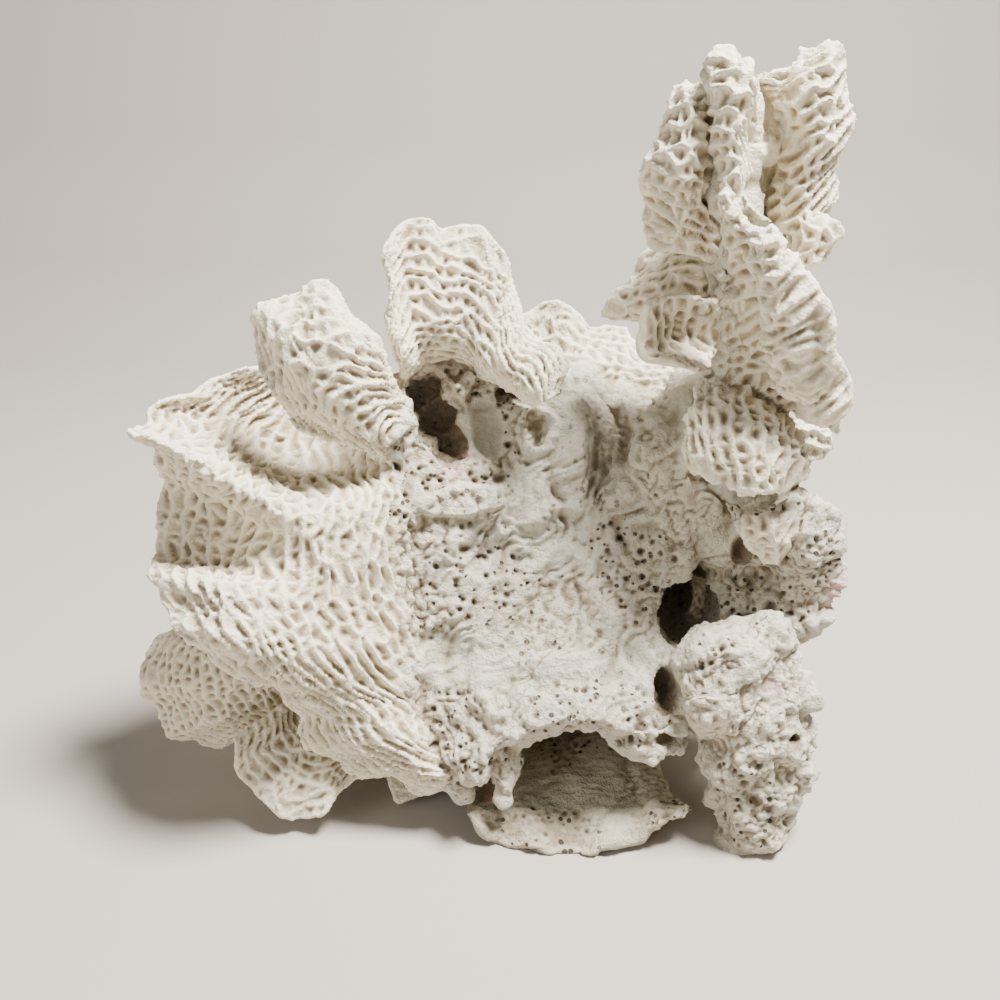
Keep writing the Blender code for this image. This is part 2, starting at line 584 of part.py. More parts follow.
# The leaves in the order they are parted from each other, with the triangles each is drawn in.
LEAVES = [
    ("tower_left_leaf", TOWER_LEFT_RIBS, 270), ("tower_cup", CUP_RIBS, 170),
    ("tower_wing", WING_RIBS, 230), ("tower_side_leaf", SIDE_RIBS, 110),
    ("tower_crown", CROWN_RIBS, 320), ("upper_left_leaf", UPPER_LEFT_RIBS, 560),
    ("left_frill", FRILL_RIBS, 1440), ("lower_left_leaf", LOWER_LEFT_RIBS, 360),
    ("lower_front_leaf", LOWER_FRONT_RIBS, 280), ("small_leaf", SMALL_RIBS, 110),
    ("top_leaf", TOP_RIBS, 600), ("back_leaf", BACK_RIBS, 300),
]


def build():
    for obj in list(bpy.data.objects):
        bpy.data.objects.remove(obj, do_unlink=True)
    parts = bpy.data.collections.new("lettuce_coral")
    cutters = bpy.data.collections.new("cutters")
    for collection in (parts, cutters):
        bpy.context.scene.collection.children.link(collection)

    walls = [(surface(HOLLOW_WALL, WALL_STEP, WALL_STEP), HOLLOW_THICK, WALL_RIM_SHARE)]
    walls += [terrace(*plate) for plate in BACK_TERRACES]
    core = grow("core_rock", parts, 1200, walls, CORE_LUMPS, CORE_HIDDEN_LUMPS, ROCK_ROUGHNESS)
    cut_flat(hollow(core, CORE_HOLES, cutters))
    foot = grow("foot_rock", parts, 340, (), FOOT_LUMPS, (), ROCK_ROUGHNESS)
    hollow(foot, FOOT_HOLES, cutters)
    uncut = [core.data, foot.data.copy()]
    part_from(cut_flat(foot), uncut[:1], cutters)
    plate = grow("base_plate", parts, 260, [leaf_wall(PLATE_RIBS, PLATE_THICK, PLATE_RISE)])
    part_from(cut_flat(plate), uncut, cutters)
    ridges = [leaf_wall(ribs) for ribs in (CREST_RIBS, TONGUE_RIBS, SHELF_RIBS, FLANGE_RIBS)]
    tower = grow("tower", parts, 1120, ridges, COLUMN_LUMPS)
    uncut.append(tower.data.copy())
    part_from(tower, uncut[:1], cutters)

    leaves = [tower]
    for name, ribs, triangles in LEAVES:
        obj = cut_flat(grow(name, parts, triangles, [leaf_wall(ribs)]))
        whole = obj.data.copy()
        leaves.append(part_from(obj, uncut, cutters))
        uncut.append(whole)
    for obj in leaves:
        finish(obj, BONE, LEAF_ROUGHNESS)
    for obj in (core, foot):
        finish(obj, CHALK, ROCK_MATT)
    finish(plate, SHADE, ROCK_MATT)


build()
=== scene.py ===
"""Lettuce coral, dressed: one dry white skeleton, grown together over all its forks.

Every fork starts as a plain closed form on the same control points as its solid. At the end one
skin is grown over all the forks, so that they run into each other as in the real colony. It gets
its ridges, pits and pores there, and each fork keeps the part of it that lies nearest. Units are
metres, +Z is up and -Y is the front.
"""

import math

import bmesh
import bpy
import numpy as np
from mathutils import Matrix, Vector, noise
from mathutils.bvhtree import BVHTree


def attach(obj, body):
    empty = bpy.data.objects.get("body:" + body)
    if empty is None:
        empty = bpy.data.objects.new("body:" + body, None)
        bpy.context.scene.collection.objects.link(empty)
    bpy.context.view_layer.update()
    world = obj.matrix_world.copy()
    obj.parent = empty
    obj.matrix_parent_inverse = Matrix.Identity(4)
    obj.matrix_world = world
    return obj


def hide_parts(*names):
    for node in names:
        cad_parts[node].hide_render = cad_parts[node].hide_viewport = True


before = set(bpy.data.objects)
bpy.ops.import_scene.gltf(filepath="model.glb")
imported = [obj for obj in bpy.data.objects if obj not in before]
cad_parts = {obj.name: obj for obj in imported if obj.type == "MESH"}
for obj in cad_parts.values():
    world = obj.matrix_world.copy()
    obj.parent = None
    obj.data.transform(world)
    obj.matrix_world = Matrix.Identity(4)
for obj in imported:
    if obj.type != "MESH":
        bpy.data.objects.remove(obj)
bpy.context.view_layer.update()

# The rock core. The old heart of the colony, a porous chalky rock with a hollow front, an arched
# lip, knobs and holes at the right, and short broken plates round the back. It is cut off flat
# underneath and rests on the cut.
MM = 0.001
EYE = np.array((0.0, -0.335, 0.285))
EYE_TILT = math.radians(26)
FRAME_CENTRE = 500
FRAME_FOCAL = 973
LUMP_FINENESS = 4
ROCK_VOXEL = 1.7 * MM
ROCK_BLEND = 5
HOLE_FINENESS = 3
HOLE_VOXEL = 1.1 * MM
KNOB_HEIGHT = 6.0 * MM
KNOB_SPACING = 24.0 * MM
HOLLOW_STEP = 3.0 * MM
HOLLOW_THICK = 20.0 * MM
HOLLOW_RIM_SHARE = 0.8
BACK_CENTRE = np.array((8, 20, 0)) * MM
BACK_RADII = np.array((50, 36, 0)) * MM
BACK_FOOT = 0.75
TERRACE_STEP = 3
TERRACE_SWAY = 12
TERRACE_LIFT = 5.0 * MM
TERRACE_THICK = 7.0 * MM
TERRACE_RIM_SHARE = 0.5

# The hollow front wall, from its top left to its bottom right. A control point is (across, down,
# depth): where it is plotted in a frame of 1000 by 1000 from EYE, and its depth in millimetres. A
# lump has its three radii behind that, and the hidden lumps stand at plain millimetres.
HOLLOW_WALL = [
    [(394, 374, 10), (388, 430, 0), (392, 490, -10), (398, 550, -14), (402, 610, -19), (410, 670, -28),
     (425, 720, -38), (445, 768, -46)],
    [(434, 352, 19), (440, 430, 8), (445, 490, -4), (448, 550, -12), (450, 610, -20), (455, 670, -30),
     (460, 720, -42), (464, 765, -52)],
    [(490, 350, 24), (500, 430, 12), (505, 490, 0), (508, 550, -8), (510, 610, -18), (512, 665, -30),
     (512, 705, -44), (508, 742, -54)],
    [(545, 370, 22), (548, 430, 12), (550, 490, 2), (550, 550, -6), (552, 605, -15), (555, 650, -28),
     (556, 690, -43), (555, 725, -54)],
    [(595, 392, 26), (595, 430, 17), (592, 490, 5), (590, 550, -4), (592, 605, -14), (595, 650, -28),
     (597, 690, -44), (598, 722, -55)],
    [(640, 402, 20), (640, 430, 12), (638, 490, 2), (636, 550, -6), (640, 605, -16), (645, 655, -30),
     (648, 700, -44), (650, 740, -53)],
    [(690, 418, 8), (690, 450, 2), (688, 490, -4), (690, 550, -12), (690, 605, -18), (690, 655, -28),
     (690, 690, -38), (690, 725, -46)],
]
CORE_LUMPS = [
    (730, 622, -8, 9, 13, 13), (702, 650, -2, 14, 12, 14), (700, 690, -14, 16, 12, 16),
    (692, 612, 26, 26, 12, 26), (730, 600, -4, 13, 12, 17), (765, 518, 2, 22, 14, 13),
    (815, 530, -12, 12, 13, 12), (806, 575, -12, 13, 12, 13), (802, 618, -14, 11, 12, 12),
    (765, 600, -4, 17, 14, 17), (745, 545, 2, 19, 15, 17), (700, 520, 6, 20, 15, 16),
    (735, 648, -8, 17, 13, 13), (690, 668, -12, 13, 12, 10), (650, 640, -8, 12, 14, 18),
    (640, 690, -30, 10, 12, 12), (475, 752, -42, 13, 11, 9), (640, 742, -44, 13, 8, 6),
    (458, 778, -42, 7, 8, 8), (506, 768, -46, 6, 6, 9), (506, 793, -52, 4, 4, 6),
    (672, 738, -40, 6, 8, 6), (428, 745, -36, 10, 8, 8), (694, 404, 22, 15, 10, 14),
]
CORE_HIDDEN_LUMPS = [
    (4, 20, 22, 54, 36, 36), (0, 28, 80, 44, 24, 50), (48, 24, 70, 38, 26, 46),
    (-34, 14, 62, 28, 24, 46), (66, 16, 108, 32, 22, 38), (32, 38, 126, 38, 22, 36),
    (-56, 2, 34, 34, 16, 18), (-18, 30, 130, 26, 20, 36),
]
BACK_TERRACES = [
    (20, 20, 150, 9), (48, 40, 190, 12), (74, -10, 100, 13), (98, 70, 175, 12), (120, 5, 125, 12),
    (60, -30, 20, 8), (146, 60, 150, 5),
]
CORE_HOLES = [
    (684, 604, -8, 13, 30, 14), (746, 560, -18, 4, 14, 6), (663, 695, -42, 5, 15, 8),
    (776, 645, -22, 6, 14, 9), (424, 396, 14, 8, 16, 10), (438, 422, 12, 9, 16, 9),
    (450, 444, 8, 7, 12, 8), (528, 393, 20, 13, 12, 3.5), (672, 773, -42, 4, 20, 5),
]
CLEAN_CUP = (536, 430, 9, 6.5, 8, 9.5)


def seen(across, down, depth):
    """The point at this depth that EYE sees at (across, down)."""
    right = (across - FRAME_CENTRE) / FRAME_FOCAL
    up = (FRAME_CENTRE - down) / FRAME_FOCAL
    ahead, drop = math.cos(EYE_TILT), math.sin(EYE_TILT)
    ray = np.array((right, ahead + up * drop, up * ahead - drop))
    return EYE + ray * ((depth * MM - EYE[1]) / ray[1])


def smooth_through(points, count):
    """A smooth curve through rows of points, read at count even steps."""
    points = np.asarray(points, dtype=float)
    gaps = np.linalg.norm(np.diff(points, axis=0), axis=-1)
    gaps = gaps.reshape(len(gaps), -1).mean(axis=1)
    knots = np.concatenate(([0.0], np.cumsum(gaps)))
    slopes = np.gradient(points, knots, axis=0)
    at = np.linspace(0.0, knots[-1], count)
    low = np.clip(np.searchsorted(knots, at, side="right") - 1, 0, len(gaps) - 1)
    column = (-1,) + (1,) * (points.ndim - 1)
    span = gaps[low].reshape(column)
    t = ((at - knots[low]) / gaps[low]).reshape(column)
    start = (2 * t**3 - 3 * t**2 + 1) * points[low] + (t**3 - 2 * t**2 + t) * span * slopes[low]
    end = (3 * t**2 - 2 * t**3) * points[low + 1] + (t**3 - t**2) * span * slopes[low + 1]
    return start + end


def lengths(rows):
    """The length of each row of points."""
    return np.linalg.norm(np.diff(rows, axis=1), axis=2).sum(axis=1)


def surface(ribs, step):
    """A grid over a leaf's ribs: first index across the ribs, second from root to rim."""
    cage = np.array([[seen(*point) for point in rib] for rib in ribs])
    along = max(6, round(lengths(cage).max() / step) + 1)
    grid = smooth_through(cage.swapaxes(0, 1), along).swapaxes(0, 1)
    across = max(6, round(lengths(grid.swapaxes(0, 1)).max() / step) + 1)
    return smooth_through(grid, across)


def front_normals(grid):
    """Unit normals of the grid, on the side that EYE sees."""
    normal = np.cross(np.gradient(grid, axis=1), np.gradient(grid, axis=0))
    normal /= np.linalg.norm(normal, axis=2, keepdims=True) + 1e-12
    toward = (normal * (EYE - grid)).sum()
    return normal if toward > 0 else -normal


def numbered(grid):
    """The numbers of a grid's points, row by row, and the quads between them."""
    index = np.arange(grid.shape[0] * grid.shape[1]).reshape(grid.shape[:2])
    quads = np.stack((index[:-1, :-1], index[1:, :-1], index[1:, 1:], index[:-1, 1:]), axis=-1)
    return index, quads.reshape(-1, 4)


def closed(grid, thick, rim_share):
    """A closed leaf behind the grid, thinner towards its rim and sides, as points and quads."""
    rows, columns = grid.shape[:2]
    share = 1.0 - (1.0 - rim_share) * np.linspace(0.0, 1.0, columns)[None, :]
    edge = np.minimum(np.arange(rows), np.arange(rows)[::-1])[:, None] / rows
    depth = thick * share * np.minimum(1.0, 0.5 + 3.0 * edge)
    back = grid - front_normals(grid) * depth[:, :, None]
    points = np.concatenate((grid.reshape(-1, 3), back.reshape(-1, 3)))
    index, quads = numbered(grid)
    loop = np.concatenate((index[0, :-1], index[:-1, -1], index[-1, :0:-1], index[:0:-1, 0]))
    after = np.roll(loop, -1)
    behind = rows * columns
    sides = np.stack((loop, after, after + behind, loop + behind), axis=-1)
    return points, np.concatenate((quads, quads[:, ::-1] + behind, sides))


def rounded(centre, radii, knobs=0.0, fineness=LUMP_FINENESS):
    """A rounded lump, with knobs of this height all over it, as points and triangles."""
    bm = bmesh.new()
    bmesh.ops.create_icosphere(bm, subdivisions=fineness, radius=1.0)
    unit = np.array([vertex.co[:] for vertex in bm.verts])
    faces = np.array([[vertex.index for vertex in face.verts] for face in bm.faces])
    bm.free()
    points = unit * np.array(radii) * MM + centre
    if knobs:
        swell = [noise.fractal(Vector(place / KNOB_SPACING), 1.0, 2.0, 3) for place in points]
        points += unit * (knobs * np.array(swell))[:, None]
    return points, faces


def lumps_at(places, fineness=LUMP_FINENESS):
    """Plain rounded lumps, each at its control point and with its three radii."""
    return [rounded(seen(*place[:3]), place[3:], 0.0, fineness) for place in places]


def terrace(height, start, end, reach):
    """A short broken plate round the back of the core, between two bearings in degrees."""
    grid = []
    for bearing in np.radians(np.arange(start, end + 1, TERRACE_STEP)):
        out = np.array([math.cos(bearing), math.sin(bearing), 0.0])
        wave = noise.noise(Vector((math.cos(bearing), math.sin(bearing), height / 20.0)) * 3.0)
        foot = BACK_CENTRE + out * BACK_RADII * BACK_FOOT
        foot[2] = (height + TERRACE_SWAY * wave) * MM
        taper = math.sin(math.pi * (math.degrees(bearing) - start + 4) / (end - start + 8))
        tip = foot + out * (BACK_RADII[0] * (1 - BACK_FOOT) + reach * MM * taper * (1 + wave))
        tip[2] += TERRACE_LIFT
        grid.append([foot + (tip - foot) * share for share in np.linspace(0.0, 1.0, 9)])
    return closed(np.array(grid), TERRACE_THICK, TERRACE_RIM_SHARE)


def mesh_of(name, points, faces):
    """A mesh from arrays of points and of faces that all have as many corners."""
    mesh = bpy.data.meshes.new(name)
    corners = faces.shape[1]
    mesh.vertices.add(len(points))
    mesh.vertices.foreach_set("co", np.asarray(points, dtype=np.float32).ravel())
    mesh.loops.add(faces.size)
    mesh.loops.foreach_set("vertex_index", np.asarray(faces, dtype=np.int32).ravel())
    mesh.polygons.add(len(faces))
    mesh.polygons.foreach_set("loop_start", np.arange(len(faces), dtype=np.int32) * corners)
    mesh.update(calc_edges=True)
    return mesh


def arrays_of(mesh):
    """The points and quads, or triangles, of a mesh."""
    points = np.empty(len(mesh.vertices) * 3, dtype=np.float32)
    mesh.vertices.foreach_get("co", points)
    corners = np.empty(len(mesh.loops), dtype=np.int32)
    mesh.loops.foreach_get("vertex_index", corners)
    return points.reshape(-1, 3).astype(float), corners.reshape(len(mesh.polygons), -1)


def joined(bodies):
    """Closed bodies side by side in one pair of arrays, all in triangles."""
    points, faces, first = [], [], 0
    for body_points, body_faces in bodies:
        if body_faces.shape[1] == 4:
            body_faces = np.concatenate((body_faces[:, (0, 1, 2)], body_faces[:, (0, 2, 3)]))
        points.append(body_points)
        faces.append(body_faces + first)
        first += len(body_points)
    return np.concatenate(points), np.concatenate(faces)


def placed(name, data):
    """A new object in the scene."""
    obj = bpy.data.objects.new(name, data)
    bpy.context.scene.collection.objects.link(obj)
    return obj


def grown(points, faces, voxel, blend, holes=None):
    """One body grown from overlapping ones on a grid of voxels, blended and hollowed."""
    obj = placed("growing", mesh_of("growing", points, faces))
    together = obj.modifiers.new("Grown together", "REMESH")
    together.mode = "VOXEL"
    together.voxel_size = voxel
    if blend:
        softer = obj.modifiers.new("Blend", "SMOOTH")
        softer.iterations = blend
    cutter = None
    if holes:
        cutter = placed("holes", mesh_of("holes", *grown(*joined(holes), HOLE_VOXEL, 0)))
        hollow = obj.modifiers.new("Hollows", "BOOLEAN")
        hollow.operation = "DIFFERENCE"
        hollow.object = cutter
        even = obj.modifiers.new("Even faces", "TRIANGULATE")
        even.min_vertices = 4
    graph = bpy.context.evaluated_depsgraph_get()
    mesh = bpy.data.meshes.new_from_object(obj.evaluated_get(graph))
    bpy.data.objects.remove(obj)
    if cutter:
        bpy.data.objects.remove(cutter)
    return arrays_of(mesh)


forks = []


def standing_for(node, name, mesh):
    """A piece of the colony that stands for this node."""
    obj = placed(name, mesh)
    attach(obj, "root")
    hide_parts(node)
    return obj


def fork(name, slot, points, faces, **skin):
    """One fork of the colony: its plain form now, and what its skin needs at the end."""
    obj = standing_for(name, f"{name}_skin", mesh_of(name, points, faces))
    forks.append({"object": obj, "points": points, "faces": faces, "slot": slot, **skin})


lumps = lumps_at(CORE_LUMPS)
lumps += [rounded(np.array(lump[:3]) * MM, lump[3:], KNOB_HEIGHT) for lump in CORE_HIDDEN_LUMPS]
lumps += [closed(surface(HOLLOW_WALL, HOLLOW_STEP), HOLLOW_THICK, HOLLOW_RIM_SHARE)]
lumps += [terrace(*plate) for plate in BACK_TERRACES]
core_holes = lumps_at([*CORE_HOLES, CLEAN_CUP], HOLE_FINENESS)
fork("core_rock", "rock", *grown(*joined(lumps), ROCK_VOXEL, ROCK_BLEND, core_holes))

# The foot at the front right. A knobbly lobe of the same rock that reaches the floor, with two
# small round borings.
FOOT_LUMPS = [
    (726, 660, -36, 19, 15, 14), (775, 690, -38, 14, 14, 16), (738, 705, -42, 20, 15, 17),
    (776, 735, -42, 14, 14, 17), (745, 748, -44, 17, 14, 16), (788, 768, -46, 9, 10, 10),
    (765, 785, -48, 14, 13, 14), (742, 800, -47, 13, 12, 15), (758, 822, -52, 14, 11, 12),
    (738, 846, -52, 11, 9, 9), (768, 645, -32, 11, 11, 12), (702, 668, -36, 12, 11, 11),
    (702, 700, -34, 13, 12, 14),
]
FOOT_HOLES = [(796, 745, -56, 2.3, 9, 2.3), (757, 812, -64, 3, 8, 3)]

foot_holes = lumps_at(FOOT_HOLES, HOLE_FINENESS)
foot = grown(*joined(lumps_at(FOOT_LUMPS)), ROCK_VOXEL, ROCK_BLEND, foot_holes)
fork("foot_rock", "rock", *foot)

# The low plate. A shelf that grew out under the arch, almost smooth and in the shade. A painted
# shade darkens its colour, so that it looks greyer than the rest.
LEAF_STEP = 1.6 * MM
RUFFLE_RISE = 2.0 * MM
RUFFLE_PITCH = 26.0 * MM
RIM_LOBES = ((2.5 * MM, 11.0 * MM), (1.8 * MM, 4.5 * MM))
LOWEST_RIM = 1.6 * MM
WARP_RISE = 1.2 * MM
WARP_GRAIN = 16.0 * MM
PLATE_THICK = 6.0 * MM
PLATE_RIM_SHARE = 0.5
PLATE_RIBS = [
    [(490, 745, -6), (484, 765, -26), (470, 798, -42), (466, 812, -52)],
    [(512, 735, -2), (508, 758, -22), (495, 808, -46), (486, 840, -57)],
    [(540, 725, 4), (538, 748, -16), (530, 800, -42), (530, 848, -59)],
    [(572, 715, 8), (572, 736, -12), (572, 795, -40), (578, 854, -60)],
    [(606, 715, 8), (608, 738, -12), (618, 790, -40), (620, 848, -60)],
    [(638, 735, 2), (645, 755, -18), (655, 790, -40), (660, 824, -57)],
    [(660, 760, -8), (668, 778, -28), (675, 792, -42), (688, 803, -53)],
]


def leaf_front(ribs):
    """The front of a leaf: its ribs with a lobed, ruffled rim and a slightly warped face."""
    grid = surface(ribs, LEAF_STEP)
    reach = grid[:, -1] - grid[:, -2]
    reach /= np.linalg.norm(reach, axis=1, keepdims=True)
    v = np.linspace(0.0, 1.0, grid.shape[1])[None, :]
    for rise, grain in RIM_LOBES:
        lobes = np.array([noise.noise(Vector(place / grain)) for place in grid[:, -1]])
        grid = grid + (v[:, :, None] ** 4) * (reach * lobes[:, None] * rise)[:, None, :]
    arc = np.concatenate(([0.0], np.cumsum(np.linalg.norm(np.diff(grid[:, -1], axis=0), axis=1))))
    warp = [[noise.noise(Vector(place / WARP_GRAIN)) for place in row] for row in grid]
    lift = RUFFLE_RISE * np.sin(2 * math.pi * arc / RUFFLE_PITCH)[:, None] * v**3
    lift = lift + WARP_RISE * np.array(warp)
    grid = grid + front_normals(grid) * lift[:, :, None]
    grid[:, :, 2] = np.maximum(grid[:, :, 2], LOWEST_RIM)
    return grid


fork("base_plate", "shaded_plate", *closed(leaf_front(PLATE_RIBS), PLATE_THICK, PLATE_RIM_SHARE))

# The tower. A tall column at the right: a knobbly core, a sharp front ridge that widens downwards
# and has a swollen band at its right, a tongue and two low shelves, all grown together.
TOWER_VOXEL = 1.3 * MM
TOWER_THICK = 5.5 * MM
TOWER_RIM_SHARE = 0.8
COLUMN_LUMPS = [
    (742, 540, 4, 19, 13, 18), (748, 490, 6, 17, 13, 15), (752, 440, 8, 16, 13, 16),
    (750, 395, 8, 13, 11, 14), (745, 345, 8, 12, 10, 14), (742, 300, 8, 12, 9, 14),
    (738, 255, 8, 10, 8, 13), (738, 210, 8, 9, 8, 12), (740, 165, 8, 8, 7, 12),
    (742, 120, 8, 7, 6, 12), (738, 85, 8, 6, 6, 9), (765, 150, 14, 6, 6, 14),
    (764, 110, 14, 6, 5, 12), (790, 512, 2, 10, 10, 10),
]
BAND_LUMPS = [
    (766, 250, -22, 6, 6, 8), (780, 276, -25, 7, 7, 9), (789, 304, -26, 9, 8, 11),
    (792, 338, -24, 10, 9, 11), (804, 370, -22, 11, 9, 11), (822, 400, -19, 9, 8, 9),
    (722, 72, -2, 6, 6, 7), (732, 98, -7, 7, 6, 9), (727, 130, -9, 5, 6, 9),
]
CREST_RIBS = [
    [(707, 62, 5), (720, 50, 0), (735, 58, 1), (748, 76, 4)],
    [(706, 85, 2), (722, 82, -8), (738, 92, -8), (751, 100, 2)],
    [(712, 120, 0), (725, 118, -12), (740, 122, -14), (752, 130, -2)],
    [(716, 160, -2), (726, 160, -14), (738, 162, -16), (748, 165, -4)],
    [(716, 195, -4), (726, 192, -16), (736, 190, -20), (743, 196, -14)],
    [(716, 225, -6), (730, 222, -18), (742, 222, -22), (751, 230, -19)],
    [(716, 255, -8), (738, 250, -18), (762, 248, -24), (783, 256, -25)],
    [(716, 285, -10), (745, 282, -16), (780, 275, -24), (813, 275, -31)],
    [(718, 315, -11), (750, 315, -14), (785, 305, -22), (821, 310, -33)],
    [(718, 345, -12), (752, 348, -12), (790, 340, -18), (826, 345, -33)],
    [(716, 372, -12), (752, 378, -10), (795, 375, -14), (839, 370, -28)],
    [(715, 390, -12), (755, 395, -10), (800, 400, -10), (850, 405, -22)],
    [(730, 402, -12), (765, 408, -9), (805, 420, -8), (838, 441, -17)],
]
TONGUE_RIBS = [
    [(702, 372, -4), (690, 400, -14), (682, 430, -18), (684, 462, -20)],
    [(716, 378, -8), (706, 415, -22), (704, 448, -28), (702, 476, -29)],
    [(736, 384, -10), (732, 420, -25), (735, 460, -32), (738, 497, -34)],
    [(756, 390, -10), (760, 425, -25), (764, 460, -32), (765, 494, -34)],
    [(772, 400, -8), (784, 430, -22), (790, 460, -28), (790, 495, -29)],
    [(786, 412, -6), (800, 432, -16), (808, 455, -20), (807, 478, -21)],
]
SHELF_RIBS = [
    [(722, 500, -14), (732, 525, -20), (752, 552, -13)],
    [(745, 505, -20), (752, 532, -26), (764, 559, -17)],
    [(775, 505, -20), (780, 532, -26), (778, 563, -17)],
    [(797, 500, -14), (802, 522, -18), (797, 549, -12)],
]
FLANGE_RIBS = [
    [(786, 422, 0), (810, 424, -2), (832, 428, 2)],
    [(788, 445, 0), (812, 444, -4), (829, 452, 2)],
    [(790, 465, 0), (808, 462, -4), (820, 464, 2)],
]

# A ridged leaf has cells between walls: pitch is how wide a cell is and run how long, in
# millimetres, sway is how far the cells stray from even rows, and rise is how high the walls stand.
# Radial rows run to the rim and the others round the leaf. Rim is the height left at the rim, wrap
# is how far the walls reach round the edge, and open is where the cells begin to be walled off.
tower_fronts = [leaf_front(ribs) for ribs in (CREST_RIBS, TONGUE_RIBS, SHELF_RIBS, FLANGE_RIBS)]
lumps = [closed(front, TOWER_THICK, TOWER_RIM_SHARE) for front in tower_fronts]
lumps += lumps_at(COLUMN_LUMPS + BAND_LUMPS)
fork("tower", "leaf", *grown(*joined(lumps), TOWER_VOXEL, 0, core_holes[1:2]), fronts=tower_fronts,
     pitch=5.0, run=8.0, sway=1.0, rise=2.7, radial=True, rim=0.5, wrap=0.4)

# The leaves of the tower. Thin ridged leaves at its left and a hollow crown at its right, with
# wide open cells.
LEAF_THICK = 5.0 * MM
LEAF_RIM_SHARE = 0.5
TOWER_LEFT_RIBS = [
    [(724, 80, 6), (704, 84, 4), (686, 80, 9)],
    [(726, 110, 6), (694, 108, -3), (671, 99, 6)],
    [(728, 148, 6), (688, 140, -9), (655, 132, 4)],
    [(728, 178, 6), (684, 172, -11), (641, 166, 4)],
    [(728, 205, 6), (684, 202, -9), (639, 204, 6)],
    [(726, 232, 6), (686, 228, -5), (645, 228, 6)],
    [(724, 262, 7), (690, 256, 0), (652, 248, 8)],
]
WING_RIBS = [
    [(726, 240, 15), (685, 242, 17), (654, 244, 21)],
    [(728, 268, 12), (670, 264, 10), (633, 272, 20)],
    [(728, 288, 12), (660, 287, 6), (604, 290, 16)],
    [(728, 304, 12), (662, 305, 6), (606, 316, 16)],
    [(728, 328, 12), (670, 326, 8), (640, 328, 16)],
    [(728, 350, 12), (685, 348, 10), (658, 345, 14)],
]
CUP_RIBS = [
    [(726, 303, 2), (682, 300, -2), (645, 297, -2)],
    [(728, 322, 4), (676, 322, 4), (640, 320, -6)],
    [(728, 342, 4), (680, 342, 2), (643, 346, -9)],
    [(726, 358, 2), (694, 356, -4), (662, 360, -11)],
    [(726, 372, 0), (706, 370, -9), (684, 368, -12)],
]
CROWN_RIBS = [
    [(748, 86, 13), (756, 78, 12), (764, 73, 12)],
    [(754, 94, 14), (768, 84, 9), (781, 72, 12)],
    [(758, 102, 14), (777, 90, 8), (794, 73, 13)],
    [(760, 110, 14), (786, 86, 7), (798, 47, 14)],
    [(762, 120, 14), (800, 96, 3), (817, 44, 12)],
    [(764, 132, 14), (810, 112, 2), (838, 47, 12)],
    [(766, 146, 14), (815, 128, 2), (851, 78, 14)],
    [(766, 165, 14), (814, 153, 2), (851, 128, 14)],
    [(764, 188, 13), (808, 180, 2), (846, 164, 14)],
    [(760, 212, 12), (802, 206, 2), (830, 204, 12)],
    [(756, 232, 12), (790, 232, 2), (815, 236, 8)],
]
SIDE_RIBS = [
    [(780, 218, 10), (812, 210, 0), (828, 212, 0)],
    [(778, 236, 10), (816, 232, -5), (842, 226, -2)],
    [(776, 254, 9), (812, 252, -7), (835, 246, -4)],
    [(776, 270, 8), (806, 268, -8), (828, 262, -6)],
]


def leaf(name, ribs, **skin):
    """A leaf of the colony over its ribs."""
    front = leaf_front(ribs)
    fork(name, "leaf", *closed(front, LEAF_THICK, LEAF_RIM_SHARE), fronts=[front], **skin)


leaf("tower_left_leaf", TOWER_LEFT_RIBS, pitch=4.8, run=9.0, sway=1.1, rise=2.9, radial=True, rim=0.4)
leaf("tower_cup", CUP_RIBS, pitch=4.6, run=7.0, sway=1.0, rise=2.2)
leaf("tower_wing", WING_RIBS, pitch=4.4, run=7.0, sway=1.0, rise=1.9, radial=True)
leaf("tower_side_leaf", SIDE_RIBS, pitch=4.6, run=6.5, sway=1.0, rise=2.0, rim=0.4)
leaf("tower_crown", CROWN_RIBS, pitch=4.8, run=7.5, sway=1.1, rise=2.9, radial=True, rim=0.4)

# The upper left leaf. A rounded leaf that stands over the trough, with knotty walls between its
# cells.
UPPER_LEFT_RIBS = [
    [(410, 402, 6), (392, 376, -2), (386, 362, -2), (383, 350, 3)],
    [(408, 412, 3), (378, 365, -10), (368, 340, -10), (362, 318, 0)],
    [(406, 421, 0), (360, 368, -16), (350, 332, -14), (344, 299, 2)],
    [(404, 430, -2), (345, 375, -20), (328, 330, -17), (318, 284, 4)],
    [(403, 438, -4), (328, 382, -22), (305, 338, -18), (288, 291, 4)],
    [(402, 445, -5), (318, 390, -22), (288, 350, -17), (260, 303, 2)],
    [(401, 452, -6), (312, 400, -20), (282, 368, -14), (250, 330, -1)],
    [(401, 459, -6), (315, 414, -16), (288, 395, -12), (261, 366, -5)],
    [(401, 466, -6), (330, 430, -12), (302, 418, -11), (276, 398, -8)],
    [(401, 472, -6), (345, 445, -10), (320, 437, -10), (298, 428, -10)],
]

leaf("upper_left_leaf", UPPER_LEFT_RIBS, pitch=4.9, run=8.5, sway=1.2, rise=2.7)

